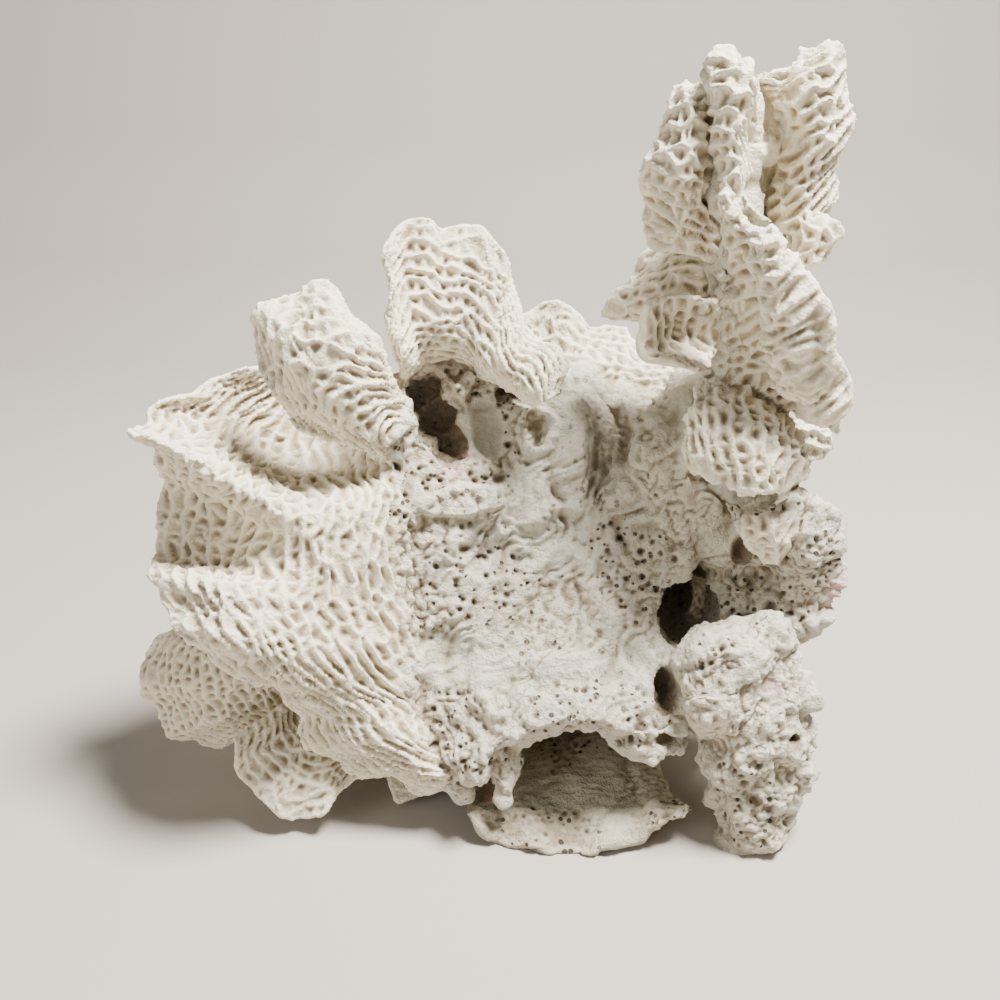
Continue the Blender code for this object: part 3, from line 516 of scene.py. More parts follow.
# The left frill. The largest leaf, folded into a deep trough and a bulging front. Its walls run
# round it in rows, side by side with its rim.
FRILL_RIBS = [
    [(398, 430, 2), (350, 405, 22), (305, 385, 28), (275, 370, 24), (262, 364, 20)],
    [(400, 442, -2), (345, 425, 17), (290, 402, 23), (240, 388, 14), (216, 380, 8)],
    [(402, 456, -6), (345, 443, 13), (280, 425, 18), (215, 408, 8), (166, 400, -2)],
    [(404, 472, -9), (345, 466, 4), (275, 452, 10), (200, 436, -4), (137, 426, -10)],
    [(406, 490, -12), (350, 496, -17), (285, 503, -29), (205, 476, -31), (146, 446, -18)],
    [(408, 510, -14), (350, 516, -25), (292, 524, -33), (214, 496, -17), (160, 476, -8)],
    [(410, 532, -16), (350, 538, -28), (292, 548, -33), (216, 528, -14), (160, 508, -6)],
    [(412, 560, -18), (350, 566, -32), (290, 573, -37), (215, 562, -24), (152, 546, -14)],
    [(414, 590, -21), (350, 597, -35), (286, 601, -44), (214, 588, -46), (152, 582, -31)],
    [(417, 620, -24), (355, 625, -38), (290, 628, -48), (232, 624, -53), (170, 618, -43)],
    [(420, 650, -27), (360, 655, -42), (300, 655, -51), (245, 653, -56), (188, 650, -50)],
    [(424, 680, -31), (365, 685, -43), (315, 682, -49), (270, 680, -51), (234, 672, -49)],
    [(428, 705, -34), (380, 705, -43), (342, 705, -46), (312, 704, -46), (288, 700, -44)],
    [(434, 725, -37), (395, 730, -46), (362, 738, -47), (332, 742, -44), (308, 746, -39)],
    [(440, 742, -40), (412, 750, -48), (388, 760, -48), (365, 766, -45), (345, 770, -41)],
    [(446, 756, -42), (430, 768, -49), (418, 776, -49), (405, 780, -47), (394, 782, -43)],
    [(452, 765, -44), (450, 776, -50), (447, 784, -50), (444, 790, -48), (440, 797, -45)],
]

leaf("left_frill", FRILL_RIBS, pitch=4.9, run=10.5, sway=1.0, rise=2.7, open=0.3)

# The top leaf. An upright leaf with a notched rim, whose fine rows curve down on to a flange over
# the hollow.
TOP_RIBS = [
    [(406, 388, 14), (398, 364, 1), (391, 350, 0), (387, 335, 5)],
    [(414, 384, 17), (402, 345, -2), (390, 310, 5), (390, 288, 11)],
    [(422, 380, 20), (410, 336, 3), (396, 288, 11), (386, 252, 15)],
    [(430, 378, 22), (418, 326, 7), (410, 275, 14), (414, 216, 22)],
    [(440, 376, 23), (428, 324, 9), (424, 275, 14), (428, 216, 23)],
    [(452, 376, 24), (441, 326, 10), (440, 285, 15), (440, 234, 24)],
    [(464, 376, 24), (455, 330, 11), (456, 285, 15), (462, 221, 26)],
    [(478, 380, 23), (470, 340, 11), (478, 295, 15), (488, 232, 26)],
    [(492, 386, 20), (486, 354, 7), (500, 318, 12), (512, 266, 24)],
    [(504, 392, 18), (504, 370, 3), (514, 346, 6), (522, 318, 16)],
    [(514, 398, 16), (522, 382, -2), (542, 362, 0), (560, 348, 6)],
    [(524, 404, 14), (532, 394, -5), (550, 383, -5), (567, 374, 0)],
    [(534, 410, 12), (540, 403, -6), (550, 400, -7), (562, 397, -3)],
]

leaf("top_leaf", TOP_RIBS, pitch=3.8, run=9.5, sway=0.8, rise=2.2)

# The small leaves under the frill and behind the top leaf. Low and broken, with fine rows.
LOWER_LEFT_RIBS = [
    [(318, 652, 0), (262, 634, -12), (218, 632, -14), (178, 626, -12)],
    [(318, 664, 0), (255, 655, -20), (200, 648, -22), (150, 646, -14)],
    [(318, 676, 0), (255, 676, -24), (198, 676, -26), (139, 670, -16)],
    [(318, 688, 0), (260, 696, -24), (205, 705, -26), (150, 710, -18)],
    [(318, 700, 0), (268, 712, -22), (222, 726, -24), (182, 744, -18)],
    [(318, 712, 0), (275, 722, -18), (244, 732, -20), (216, 746, -16)],
    [(318, 724, 0), (285, 728, -14), (262, 730, -16), (243, 729, -14)],
]
LOWER_FRONT_RIBS = [
    [(305, 690, -10), (266, 715, -30), (234, 737, -38)],
    [(312, 696, -10), (274, 745, -36), (240, 776, -44)],
    [(320, 700, -10), (292, 762, -41), (262, 806, -49)],
    [(330, 704, -10), (306, 768, -42), (291, 820, -51)],
    [(340, 708, -10), (322, 770, -42), (314, 816, -50)],
    [(350, 712, -10), (342, 766, -38), (345, 790, -44)],
    [(362, 718, -10), (355, 756, -34), (362, 773, -40)],
]
SMALL_RIBS = [
    [(392, 742, -10), (386, 770, -26), (387, 786, -32)],
    [(408, 742, -10), (404, 778, -30), (402, 798, -36)],
    [(428, 745, -10), (427, 776, -30), (430, 793, -36)],
    [(446, 748, -12), (446, 772, -28), (450, 786, -34)],
]
BACK_RIBS = [
    [(505, 420, 30), (500, 350, 52), (498, 320, 60)],
    [(535, 420, 30), (528, 350, 50), (528, 312, 58)],
    [(565, 420, 30), (556, 350, 48), (552, 303, 58)],
    [(595, 420, 30), (592, 355, 46), (592, 318, 58)],
    [(625, 420, 28), (620, 360, 44), (622, 330, 56)],
    [(655, 420, 26), (650, 365, 42), (650, 340, 54)],
    [(690, 420, 24), (682, 372, 40), (680, 350, 52)],
]

leaf("lower_left_leaf", LOWER_LEFT_RIBS, pitch=3.8, run=14.0, sway=0.6, rise=2.2)
leaf("lower_front_leaf", LOWER_FRONT_RIBS, pitch=4.2, run=8.0, sway=1.0, rise=2.0)
leaf("small_leaf", SMALL_RIBS, pitch=4.0, run=6.5, sway=1.0, rise=1.2)
leaf("back_leaf", BACK_RIBS, pitch=4.4, run=7.0, sway=1.0, rise=1.8)

# The skin. All forks grown together into one surface, as the living colony grew it, then given
# its relief: ridged cells with dimples on the fronts of the leaves, faint rings behind them, and
# knobs, ledges, draped folds and pores on the rock.
SKIN_VOXEL = 0.85 * MM
SKIN_SOFTENING = 5
FLOOR = (-1.0, -1.0, 0.0)
NEAR = 6.0 * MM
FAR = 30.0 * MM


def grain(points, size, seed):
    """Smooth noise from about -1 to 1 with lumps of this size, at many points at once."""
    places = points / size
    corner = np.floor(places).astype(np.int64)
    inside = places - corner
    ease = inside**3 * (inside * (6 * inside - 15) + 10)
    total = np.zeros(len(points))
    for step in np.ndindex(2, 2, 2):
        at = corner + step
        weight = np.prod(np.where(step, ease, 1 - ease), axis=1)
        slope = [chance(*at.T, seed + axis) - 0.5 for axis in range(3)]
        total += weight * sum(slope[axis] * (inside[:, axis] - step[axis]) for axis in range(3))
    return total * 3.0


def grains(points, layers):
    """Noise of several sizes: layers of (height, size in millimetres, seed) on top of each other."""
    return sum(height * grain(points, size * MM, seed) for height, size, seed in layers)


def chance(i, j, k, seed):
    """A fixed number from 0 to 1 for each whole-numbered place."""
    n = (i * 374761393 + j * 668265263 + k * 1440662683 + seed * 974634777) & 0xFFFFFFFF
    n = ((n ^ (n >> 13)) * 1274126177) & 0xFFFFFFFF
    n = ((n ^ (n >> 16)) * 2246822519) & 0xFFFFFFFF
    return ((n ^ (n >> 15)) & 0xFFFFFF) / 0x1000000


def cells(along, row, sway, seed):
    """How far each place is from the long and the cross walls of brick-like cells, and its cell."""
    gaps, names = [], []
    for row_step, step in np.ndindex(3, 3):
        j = np.floor(row) + row_step - 1
        shifted = along + 0.5 * (j % 2)
        i = np.floor(shifted) + step - 1
        whole = i.astype(np.int64), j.astype(np.int64)
        x = i + 0.5 + sway * (chance(*whole, 0, seed) - 0.5)
        y = j + 0.5 + 0.8 * sway * (chance(*whole, 1, seed) - 0.5)
        gaps.append(np.hypot((shifted - x) * 1.15, row - y))
        names.append(whole)
    gaps, names = np.array(gaps), np.array(names)
    i, j = names[gaps.argmin(axis=0), :, np.arange(len(row))].T
    same_row = names[:, 1] == j
    itself = same_row & (names[:, 0] == i)
    nearest = gaps.min(axis=0)
    long_wall = np.where(same_row, 9.0, gaps).min(axis=0) - nearest
    cross_wall = np.where(itself | ~same_row, 9.0, gaps).min(axis=0) - nearest
    return long_wall, cross_wall, (i, j)


def pits(points, size, radius, share, seed):
    """Depth from 0 to 1 of round pores strewn through space, one try in each block of this size."""
    blocks = points / size
    here = np.floor(blocks).astype(np.int64)
    depth = np.zeros(len(points))
    for step in np.ndindex(3, 3, 3):
        at = here + np.array(step) - 1
        centre = at + np.stack([chance(*at.T, seed + axis) for axis in range(3)], axis=1)
        wide = radius / size * (0.55 + 0.9 * chance(*at.T, seed + 3))
        gap = np.linalg.norm(blocks - centre, axis=1)
        pore = np.clip(1.35 - gap / wide, 0, 1) * (chance(*at.T, seed + 4) < share)
        depth = np.maximum(depth, pore)
    return depth


def largest(points, faces):
    """The largest island of the mesh."""
    links = [[] for _ in range(len(points))]
    for a, b, c, d in faces.tolist():
        links[a].append(b)
        links[b].append(c)
        links[c].append(d)
        links[d].append(a)
    island = np.full(len(points), -1)
    sizes = []
    for first in range(len(points)):
        if island[first] >= 0:
            continue
        island[first] = len(sizes)
        front = [first]
        count = 0
        while front:
            here = front.pop()
            count += 1
            for other in links[here]:
                if island[other] < 0:
                    island[other] = len(sizes)
                    front.append(other)
        sizes.append(count)
    kept = island == int(np.argmax(sizes))
    place = np.cumsum(kept) - 1
    return points[kept], place[faces[kept[faces[:, 0]]]]


def normals_of(points, faces):
    """Unit normals of the points of a mesh of quads."""
    diagonals = points[faces[:, 2]] - points[faces[:, 0]], points[faces[:, 3]] - points[faces[:, 1]]
    areas = np.cross(*diagonals)
    normal = np.stack([
        sum(np.bincount(faces[:, k], area, len(points)) for k in range(4)) for area in areas.T
    ], axis=1)
    return normal / (np.linalg.norm(normal, axis=1, keepdims=True) + 1e-15)


all_forks = joined([(np.maximum(part["points"], FLOOR), part["faces"]) for part in forks])
points, faces = largest(*grown(*all_forks, SKIN_VOXEL, 0))
edges = np.concatenate([faces[:, (k, (k + 1) % 4)] for k in range(4)])
edges = np.unique(np.sort(edges, axis=1), axis=0)
degree = np.bincount(edges.ravel(), minlength=len(points)).astype(float)


def averaged(values):
    """The mean of each point's neighbours."""
    if values.ndim > 1:
        return np.stack([averaged(column) for column in values.T], axis=1)
    total = np.bincount(edges[:, 0], values[edges[:, 1]], len(points))
    total += np.bincount(edges[:, 1], values[edges[:, 0]], len(points))
    return total / degree


for _ in range(SKIN_SOFTENING):
    points = points + 0.5 * (averaged(points) - points)
    points = points - 0.52 * (averaged(points) - points)
normals = normals_of(points, faces)

# Which fork each point belongs to.
reach = np.full((len(forks), len(points)), FAR)
for number, part in enumerate(forks):
    tree = BVHTree.FromPolygons(part["points"].tolist(), part["faces"].tolist())
    low, high = part["points"].min(axis=0) - NEAR, part["points"].max(axis=0) + NEAR
    for index in np.flatnonzero(((points > low) & (points < high)).all(axis=1)):
        gap = tree.find_nearest(points[index], FAR)[3]
        if gap is not None:
            reach[number, index] = gap
owner = reach.argmin(axis=0)
is_rock = np.array(["fronts" not in part for part in forks])
rock = 0.5 + 0.5 * np.clip((reach[~is_rock].min(axis=0) - reach[is_rock].min(axis=0)) / NEAR, -1, 1)
rock = rock**2 * (3 - 2 * rock)
leaf_owner = np.where(is_rock[:, None], FAR * 2, reach).argmin(axis=0)


def plotted(points):
    """Where EYE sees each point: across and down."""
    away = points - EYE
    ahead, drop = math.cos(EYE_TILT), math.sin(EYE_TILT)
    depth = away[:, 1] * ahead - away[:, 2] * drop
    up = away[:, 1] * drop + away[:, 2] * ahead
    return FRAME_CENTRE + FRAME_FOCAL * away[:, 0] / depth, FRAME_CENTRE - FRAME_FOCAL * up / depth


def oval(x, y, half_across, half_down, turn):
    """How far out each point is plotted from the middle of an oval, 1 at its edge."""
    c, n = math.cos(math.radians(turn)), math.sin(math.radians(turn))
    dx, dy = (across - x) * c + (down - y) * n, (down - y) * c - (across - x) * n
    return np.hypot(dx / half_across, dy / half_down)


def patches(places):
    """1 inside any of these ovals, with a soft edge, on the side that EYE sees."""
    return np.max([np.clip((1.15 - oval(*place)) * 4, 0, 1) for place in places], axis=0) * seen_side


across, down = plotted(points)
sight = EYE - points
sight /= np.linalg.norm(sight, axis=1, keepdims=True)
seen_side = np.clip((normals * sight).sum(axis=1) * 3, 0, 1)

# The ridges of the leaves, from the distance to the walls of the cells in the leaf's own grid.
# Widths are in cells and heights in the rise of the leaf. A bare patch has none of them: (across,
# down, half across, half down, turn).
BARE_PATCHES = [(754, 188, 13, 40, -8)]
ROW_BENDS = [(2.0, 13, 5), (0.7, 5, 9)]
CELL_FLOOR_DEPTH = 0.35
LONG_WALL_WIDTH = 0.85
LOWEST_CROSS_WALL = 0.3
POLYP_LENGTH = 1.15
POLYP_WALL_WIDTH = 0.28
POLYP_WALL_HEIGHT = 0.55
DIMPLE_WIDTH = 0.32
DIMPLE_DEPTH = 0.3
DIMPLED_FROM = 0.25
WALLING_OFF = 0.25
FACING_FULLY = 0.55
BACK_RING_RISE = 0.35
BACK_RING_PITCH = 1.4
ridge = np.zeros(len(points))
dimples = np.zeros(len(points))
from_root = np.full(len(points), 99.0)
wanted = rock < 0.999
for number, part in enumerate(forks):
    if is_rock[number]:
        continue
    chosen = np.flatnonzero(wanted & (leaf_owner == number))
    if not len(chosen):
        continue
    best = np.full(len(chosen), FAR * 2)
    found = np.zeros((3, len(chosen)))
    for order, front in enumerate(part["fronts"]):
        rows, columns = front.shape[:2]
        tree = BVHTree.FromPolygons(front.reshape(-1, 3).tolist(), numbered(front)[1].tolist())
        hits = [tree.find_nearest(points[i]) for i in chosen]
        at = np.array([hit[0][:] for hit in hits])
        quad = np.array([hit[2] for hit in hits])
        gap = np.array([hit[3] for hit in hits])
        r, c = np.divmod(quad, columns - 1)
        origin = front[r, c]
        aside, out = front[r + 1, c] - origin, front[r, c + 1] - origin
        a = np.clip(((at - origin) * aside).sum(axis=1) / (aside**2).sum(axis=1), 0, 1)
        b = np.clip(((at - origin) * out).sum(axis=1) / (out**2).sum(axis=1), 0, 1)
        rim_way = np.linalg.norm(np.diff(front, axis=0), axis=2)
        around = np.concatenate((np.zeros((1, columns)), np.cumsum(rim_way, axis=0)))
        around -= around[rows // 2]
        span = np.sqrt(lengths(front) * lengths(front).mean())
        inward = span[:, None] * np.linspace(1.0, 0.0, columns)[None, :]

        def read(grid):
            """The grid's values at the hits."""
            top = grid[r, c] * (1 - b) + grid[r, c + 1] * b
            low_row = grid[r + 1, c] * (1 - b) + grid[r + 1, c + 1] * b
            return top * (1 - a) + low_row * a

        facing = front_normals(front)
        normal = np.stack([read(facing[:, :, axis]) for axis in range(3)], axis=1)
        side = (normal * normals[chosen]).sum(axis=1)
        u, s = read(around) / MM, read(inward) / MM
        rimward = read(np.broadcast_to(np.linspace(0.0, 1.0, columns), (rows, columns)))
        bend = grains(points[chosen], ROW_BENDS)
        along, row = ((s, u) if part.get("radial") else (u, s))
        along, row = (along + 2 * bend) / part["run"], (row + bend) / part["pitch"]
        sway = part["sway"] * (0.7 + 0.3 * rimward)
        long_wall, cross_wall, cell = cells(along, row, sway, number * 10 + order)
        walled = np.clip((rimward - part.get("open", 0.0)) / WALLING_OFF, 0, 1)
        low_cross = np.clip(0.6 + 0.8 * grain(points[chosen], 9 * MM, 12), 0.2, 1)
        low_cross *= np.maximum(walled, LOWEST_CROSS_WALL)
        height = np.clip(1.0 - long_wall / LONG_WALL_WIDTH, 0, 1) ** 2
        stretch = part["run"] / part["pitch"]
        height = np.maximum(height, low_cross * np.clip(1.0 - cross_wall * stretch, 0, 1) ** 2)
        polyp = along * stretch / POLYP_LENGTH + 0.5 * (cell[1] % 2)
        between = np.abs(polyp - np.round(polyp) + 0.12 * grain(points[chosen], 4 * MM, 13))
        polyp_wall = np.clip(1.0 - between / POLYP_WALL_WIDTH, 0, 1) ** 1.5
        height = np.maximum(height, POLYP_WALL_HEIGHT * walled * polyp_wall)
        centre = np.hypot(polyp - np.floor(polyp) - 0.5, row - cell[1] - 0.5)
        dimpled = chance(np.floor(polyp).astype(np.int64), cell[1], 8, number) > DIMPLED_FROM
        dimple = np.clip(1.25 - centre / DIMPLE_WIDTH, 0, 1) * dimpled
        height = height - CELL_FLOOR_DEPTH - DIMPLE_DEPTH * dimple
        rings = 0.5 + 0.5 * np.sin(2 * np.pi * (s + 1.5 * bend) / (BACK_RING_PITCH * part["pitch"]))
        faced = np.clip((side + part.get("wrap", 0.0)) / FACING_FULLY, 0, 1)
        rim = np.clip((1 - rimward) * 7, part.get("rim", 0.6), 1)
        shape = part["rise"] * faced * rim * height + BACK_RING_RISE * (1 - faced) * rings
        better = gap < best
        found = np.where(better, (shape, dimple * faced, span.mean() * rimward / MM), found)
        best = np.where(better, gap, best)
    ridge[chosen], dimples[chosen], from_root[chosen] = found
root_rock = np.clip(1.0 - (from_root + 9 * grain(points, 9 * MM, 11) - 1.0) / 9.0, 0, 1)
rock = np.maximum(rock, root_rock**2 * (3 - 2 * root_rock))
ridge *= 1 - patches(BARE_PATCHES)

# The rock: swells, knobs with creases between them, broken ledges on the foot, crumbs, pores of two
# sizes, and the hollow's own relief with folds that hang over it like cloth. Its heights are in
# millimetres. A form of the hollow is (across, down, half across, half down, turn, height, kind).
SWELL_RISE = 3.0
KNOB_RISE = 2.0
LEDGE_RISE = 1.3
LEDGE_LAYERS = [(5.0, 20, 34), (1.5, 7, 35)]
CRUMB_RISE = 1.2
FINE_CRUMB_RISE = 0.8
WRINKLE_RISE = 2.3
WRINKLE_SWAY = [(9.0, 17, 25), (2.0, 6, 26)]
PORE_DEPTH = 2.4
FINE_PORES = (3.6 * MM, 1.0 * MM, 0.75, 30)
WIDE_PORES = (11 * MM, 2.2 * MM, 0.45, 40)
SHELF_LINE_RISE = 0.18
SHELF_LINE_PITCH = 3.4
HOLLOW_RELIEF = [
    (486, 428, 19, 30, -10, -5.0, "dish"), (572, 455, 25, 78, 4, 9.0, "swell"),
    (617, 425, 15, 50, -14, -6.0, "swell"), (462, 500, 50, 18, -8, 3.0, "slab"),
    (490, 552, 36, 28, 20, -5.0, "swell"), (650, 480, 46, 66, 0, 3.0, "swell"),
    (520, 590, 16, 60, 30, 4.0, "swell"), (600, 600, 18, 60, -25, 4.0, "swell"),
    (560, 664, 75, 18, 0, 4.0, "swell"), (450, 650, 30, 34, 20, -5.0, "swell"),
    (456, 396, 9, 34, 35, 4.0, "slab"), (398, 425, 7, 34, 30, 3.0, "slab"),
    (536, 430, 15, 22, 0, 3.0, "ring"), (620, 655, 26, 40, 25, -4.0, "swell"),
    (436, 410, 26, 40, -32, 2.5, "ring"), (540, 515, 30, 14, -30, 3.5, "swell"),
]
FOLDS_ROUND = (250, 330)
HOLLOW_OVAL = (560, 555, 170, 205)
SMOOTH_PATCHES = [(570, 450, 28, 80, 4), (500, 545, 40, 26, 20), (556, 540, 30, 40, 0)]
POROUS_PATCHES = [
    (482, 585, 62, 40, 10), (405, 455, 36, 70, 10), (618, 545, 34, 30, 0), (775, 590, 40, 46, 0),
    (600, 715, 80, 36, 0), (455, 380, 60, 20, 20), (740, 800, 36, 44, 0), (705, 655, 34, 14, -20),
]
ANGULAR_PATCHES = [(745, 740, 80, 120, 0), (800, 560, 60, 60, 0), (720, 600, 60, 50, 0)]


def lumpy(points, size, seed):
    """Noise from -1 to about 1: rounded lumps with sharp creases between them."""
    return 2.6 * np.abs(grain(points, size, seed)) - 0.6


def gap_to(hole, wider=0.0):
    """How far each point is from the middle of a hole, 1 at its wall."""
    radii = np.array(hole[3:]) * MM + wider
    return np.linalg.norm((points - seen(*hole[:3])) / radii, axis=1)


shaped = np.zeros(len(points))
satin = np.zeros(len(points))
wobble = 0.16 * grain(points, 6 * MM, 60)
for *place, rise, kind in HOLLOW_RELIEF:
    r = oval(*place) + wobble
    dome = np.clip(1 - r**2, 0, 1)
    profile = {"swell": dome**1.5, "dish": dome**0.7, "slab": np.clip((1 - r) * 5, 0, 1),
               "ring": np.exp(-((r - 1.1) / 0.16) ** 2)}[kind]
    shaped += rise * profile * seen_side
    if kind == "dish":
        satin = np.maximum(satin, np.clip((1.1 - r) * 6, 0, 1))
smooth_place = np.clip(0.35 + 2.5 * grain(points, 26 * MM, 24), 0, 1)
smooth_place = np.maximum(np.maximum(smooth_place, patches(SMOOTH_PATCHES)), satin)
dx, dy = across - FOLDS_ROUND[0], down - FOLDS_ROUND[1]
rings = np.hypot(dx, 0.8 * dy) * 0.4 + grains(points, WRINKLE_SWAY)
bearing = np.arctan2(dy, dx) * 40.0 + 4.0 * grain(points, 14 * MM, 29)
flowing = np.stack((rings, bearing, points[:, 1] / (12 * MM)), axis=1)
wrinkle = 0.8 * np.clip(1.0 - 2.4 * np.abs(grain(flowing, 5.6, 27)), -0.2, 1)
wrinkle = wrinkle + 0.7 * grain(flowing, 3.4, 31) + 1.4 * grain(points, 21 * MM, 33)
satin = np.maximum(satin, np.clip((1.4 - gap_to(CLEAN_CUP)) * 5, 0, 1))
wrinkle *= 1 - satin
angular = patches(ANGULAR_PATCHES)
ledges = grains(points, LEDGE_LAYERS)
ledges = np.floor(ledges) + np.clip((ledges - np.floor(ledges)) * 3.5 - 2.5, 0, 1)
rough = SWELL_RISE * grain(points, 19 * MM, 20)
rough = rough + (1 - angular) * KNOB_RISE * lumpy(points, 13 * MM, 21) + angular * LEDGE_RISE * ledges
crumbs = (CRUMB_RISE - 0.6 * angular) * lumpy(points, 6 * MM, 22)
crumbs = crumbs + FINE_CRUMB_RISE * lumpy(points, 3.0 * MM, 23)
smooth_place *= 1 - 0.7 * angular
porous = np.clip(0.45 + 2.5 * grain(points, 30 * MM, 28), 0, 1) * (1 - 0.85 * smooth_place)
porous = np.maximum(porous, patches(POROUS_PATCHES))
calm = np.clip(np.clip(1 - oval(*HOLLOW_OVAL, 0), 0, 1) * 3, 0, 1) * seen_side
porous = np.maximum(porous, 0.45 * calm) * (1 - satin)
pores = np.maximum(pits(points, *FINE_PORES), pits(points, *WIDE_PORES)) * porous
rough_rock = (1 - 0.75 * calm) * rough + (1 - 0.7 * smooth_place) * (1 - 0.3 * calm) * crumbs
draped = (calm + (1 - calm) * 0.5 * smooth_place) * (0.35 + 0.65 * smooth_place)
rough_rock += draped * wrinkle * WRINKLE_RISE - PORE_DEPTH * pores
hole_gap = np.min([gap_to(hole) for hole in CORE_HOLES + FOOT_HOLES], axis=0)
hole_side = np.clip((1.35 - hole_gap) * 5, 0, 1)
on_plate = owner == [part["slot"] for part in forks].index("shaded_plate")
shelf_lines = points[:, 1] / MM + 3.0 * grain(points, 9 * MM, 32)
shelf_lines = SHELF_LINE_RISE * np.sin(2 * np.pi * shelf_lines / SHELF_LINE_PITCH)
rough_rock = np.where(on_plate, 0.45 * rough_rock + shelf_lines, rough_rock)
rough_rock = rough_rock * (1 - 0.3 * hole_side) + shaped * (1 - hole_side)

# The relief is put on the skin. It is held up near the floor, so that the cut stays flat and clean,
# and the walls of the leaves are worn a little.
WORN_WALLS = 0.28
lift = (1 - rock) * ridge + rock * rough_rock
underneath = (normals[:, 2] < -0.6) & (points[:, 2] < 1.2 * MM)
lift *= np.where(normals[:, 2] < 0, np.clip(points[:, 2] / (4 * MM), 0, 1), 1.0)
low_down = np.clip(1.5 - points[:, 2] / (5 * MM), 0, 1)
lift = np.where(lift < 0, lift * (1 - low_down), lift)
points = points + normals * (lift * MM)[:, None]
points = points + (WORN_WALLS * (1 - rock))[:, None] * (averaged(points) - points)
points[:, 2] = np.where(underneath, 0.0, np.maximum(points[:, 2], 0.0))

# What the colour follows, mostly as painted shade: how deep a point lies in its cell or pore, and
# how deep in the folds.
normals = normals_of(points, faces)
soft = points
hollows = []
for rounds, depth in ((5, 0.7 * MM), (30, 1.8 * MM)):
    for _ in range(rounds):
        soft = averaged(soft)
    hollows.append(np.clip(((soft - points) * normals).sum(axis=1) / depth * 0.5 + 0.5, 0, 1))
valley, fold = hollows
fold *= 1 - 0.8 * rock * satin

# Pink crusts, thin traces left by the algae that once grew on the rock, and painted shade inside
# the holes, darkest in the part of each hole that lies furthest from the camera.
PINK_TRACES = [
    (467, 455, -2, 1.8), (458, 468, -4, 2.5), (776, 688, -52, 3.5), (835, 600, -24, 4),
    (490, 795, -56, 4), (838, 585, -22, 3), (690, 500, -6, 2),
]
HOLE_SHADE_SPREAD = 1.0 * MM
pink = np.zeros(len(points))
for x, y, depth, wide in PINK_TRACES:
    ray = seen(x, y, depth) - EYE
    ray /= np.linalg.norm(ray)
    away = points - EYE
    beside = np.linalg.norm(away - (away @ ray)[:, None] * ray, axis=1) / MM
    blot = np.clip(1.3 - beside / wide + 0.5 * grain(points, 4 * MM, 50), 0, 1)
    facing = np.clip(-(normals @ ray) * 3, 0, 1)
    pink = np.maximum(pink, blot * facing)
# Painted shade in the holes: inside each hole, from a little before its middle on, as seen from EYE.
dirt = np.zeros(len(points))
for hole in CORE_HOLES + FOOT_HOLES:
    middle = seen(*hole[:3])
    deep = np.clip((((points - middle) @ (middle - EYE)) / 0.35 + 4 * MM) / (8 * MM), 0, 1)
    dirt = np.maximum(dirt, np.clip((1.12 - gap_to(hole, HOLE_SHADE_SPREAD)) * 6, 0, 1) * deep)
# The pores of the rock and the dimples of the leaf cells are both given painted shade through pores.
looks = {
    "dirt": dirt, "valley": valley, "fold": fold, "rock": rock, "pink": pink,
    "porous": rock * porous, "smooth_place": rock * smooth_place,
    "pores": np.maximum(rock * pores, 0.7 * (1 - rock) * dimples),
}

# The surface of the dry skeleton. Cream-coloured crests on the leaves, and cell floors that are
# yellowish by their own tint and darker by painted shade; greyer chalky rock; painted shade in the
# folds, creases, pores and holes; worn places and pink traces over both.
CREST = (0.86, 0.79, 0.625, 1.0)
CHALK = (0.73, 0.68, 0.55, 1.0)
GROOVE_COOL = (0.61, 0.60, 0.505, 1.0)
WORN = (0.56, 0.505, 0.41, 1.0)
CELL_FLOOR_TINT_AND_SHADE = (0.46, 0.385, 0.255, 1.0)
PORE_SHADE = (0.11, 0.085, 0.06, 1.0)
FOLD_SHADE = (0.36, 0.30, 0.215, 1.0)
HOLE_SHADE = (0.19, 0.145, 0.095, 1.0)
PINK = (0.70, 0.46, 0.43, 1.0)
NO_SHADE = (1.0, 1.0, 1.0, 1.0)
PLATE_SHADE = (0.80, 0.77, 0.71, 1.0)
CHALKY_ROUGHNESS = 0.88
CHALKY_SHEEN = 0.3
SUGAR_HEIGHT = 0.0018


class Wire:
    """One socket of a material: arithmetic on it adds the Math nodes that it needs."""

    def __init__(self, tree, socket=None):
        self.tree = tree
        self.socket = socket

    def node(self, kind, settings=None, sockets=None, out=0):
        """A node of this kind: first its settings, then the values or links of its sockets."""
        made = self.tree.nodes.new(kind)
        for name, value in (settings or {}).items():
            if name == "stops":
                ramp = made.color_ramp.elements
                while len(ramp) < len(value):
                    ramp.new(1.0)
                for stop, (place, colour) in zip(ramp, value):
                    stop.position = place
                    stop.color = colour
            else:
                setattr(made, name, value)
        for name, value in (sockets or {}).items():
            if isinstance(value, Wire):
                self.tree.links.new(value.socket, made.inputs[name])
            else:
                made.inputs[name].default_value = value
        return Wire(self.tree, made.outputs[out])

    def maths(self, operation, first, second, clamp=False):
        settings = {"operation": operation, "use_clamp": clamp}
        return self.node("ShaderNodeMath", settings, {0: first, 1: second})

    def __add__(self, other):
        return self.maths("ADD", self, other)

    __radd__ = __add__

    def __sub__(self, other):
        return self.maths("SUBTRACT", self, other)

    def __rsub__(self, other):
        return self.maths("SUBTRACT", other, self)

    def __mul__(self, other):
        return self.maths("MULTIPLY", self, other)

    __rmul__ = __mul__

    def held(self):
        """The value held between 0 and 1."""
        return self.maths("ADD", self, 0.0, clamp=True)

    def mixed(self, colour, other):
        """The mix of two colours, all the second where the value is 1."""
        return self.node("ShaderNodeMix", {"data_type": "RGBA"}, {0: self, 6: colour, 7: other}, 2)


def layered(colour, *layers):
    """A colour under thin layers of (mask, colour)."""
    for mask, layer in layers:
        colour = mask.held().mixed(colour, layer)
    return colour


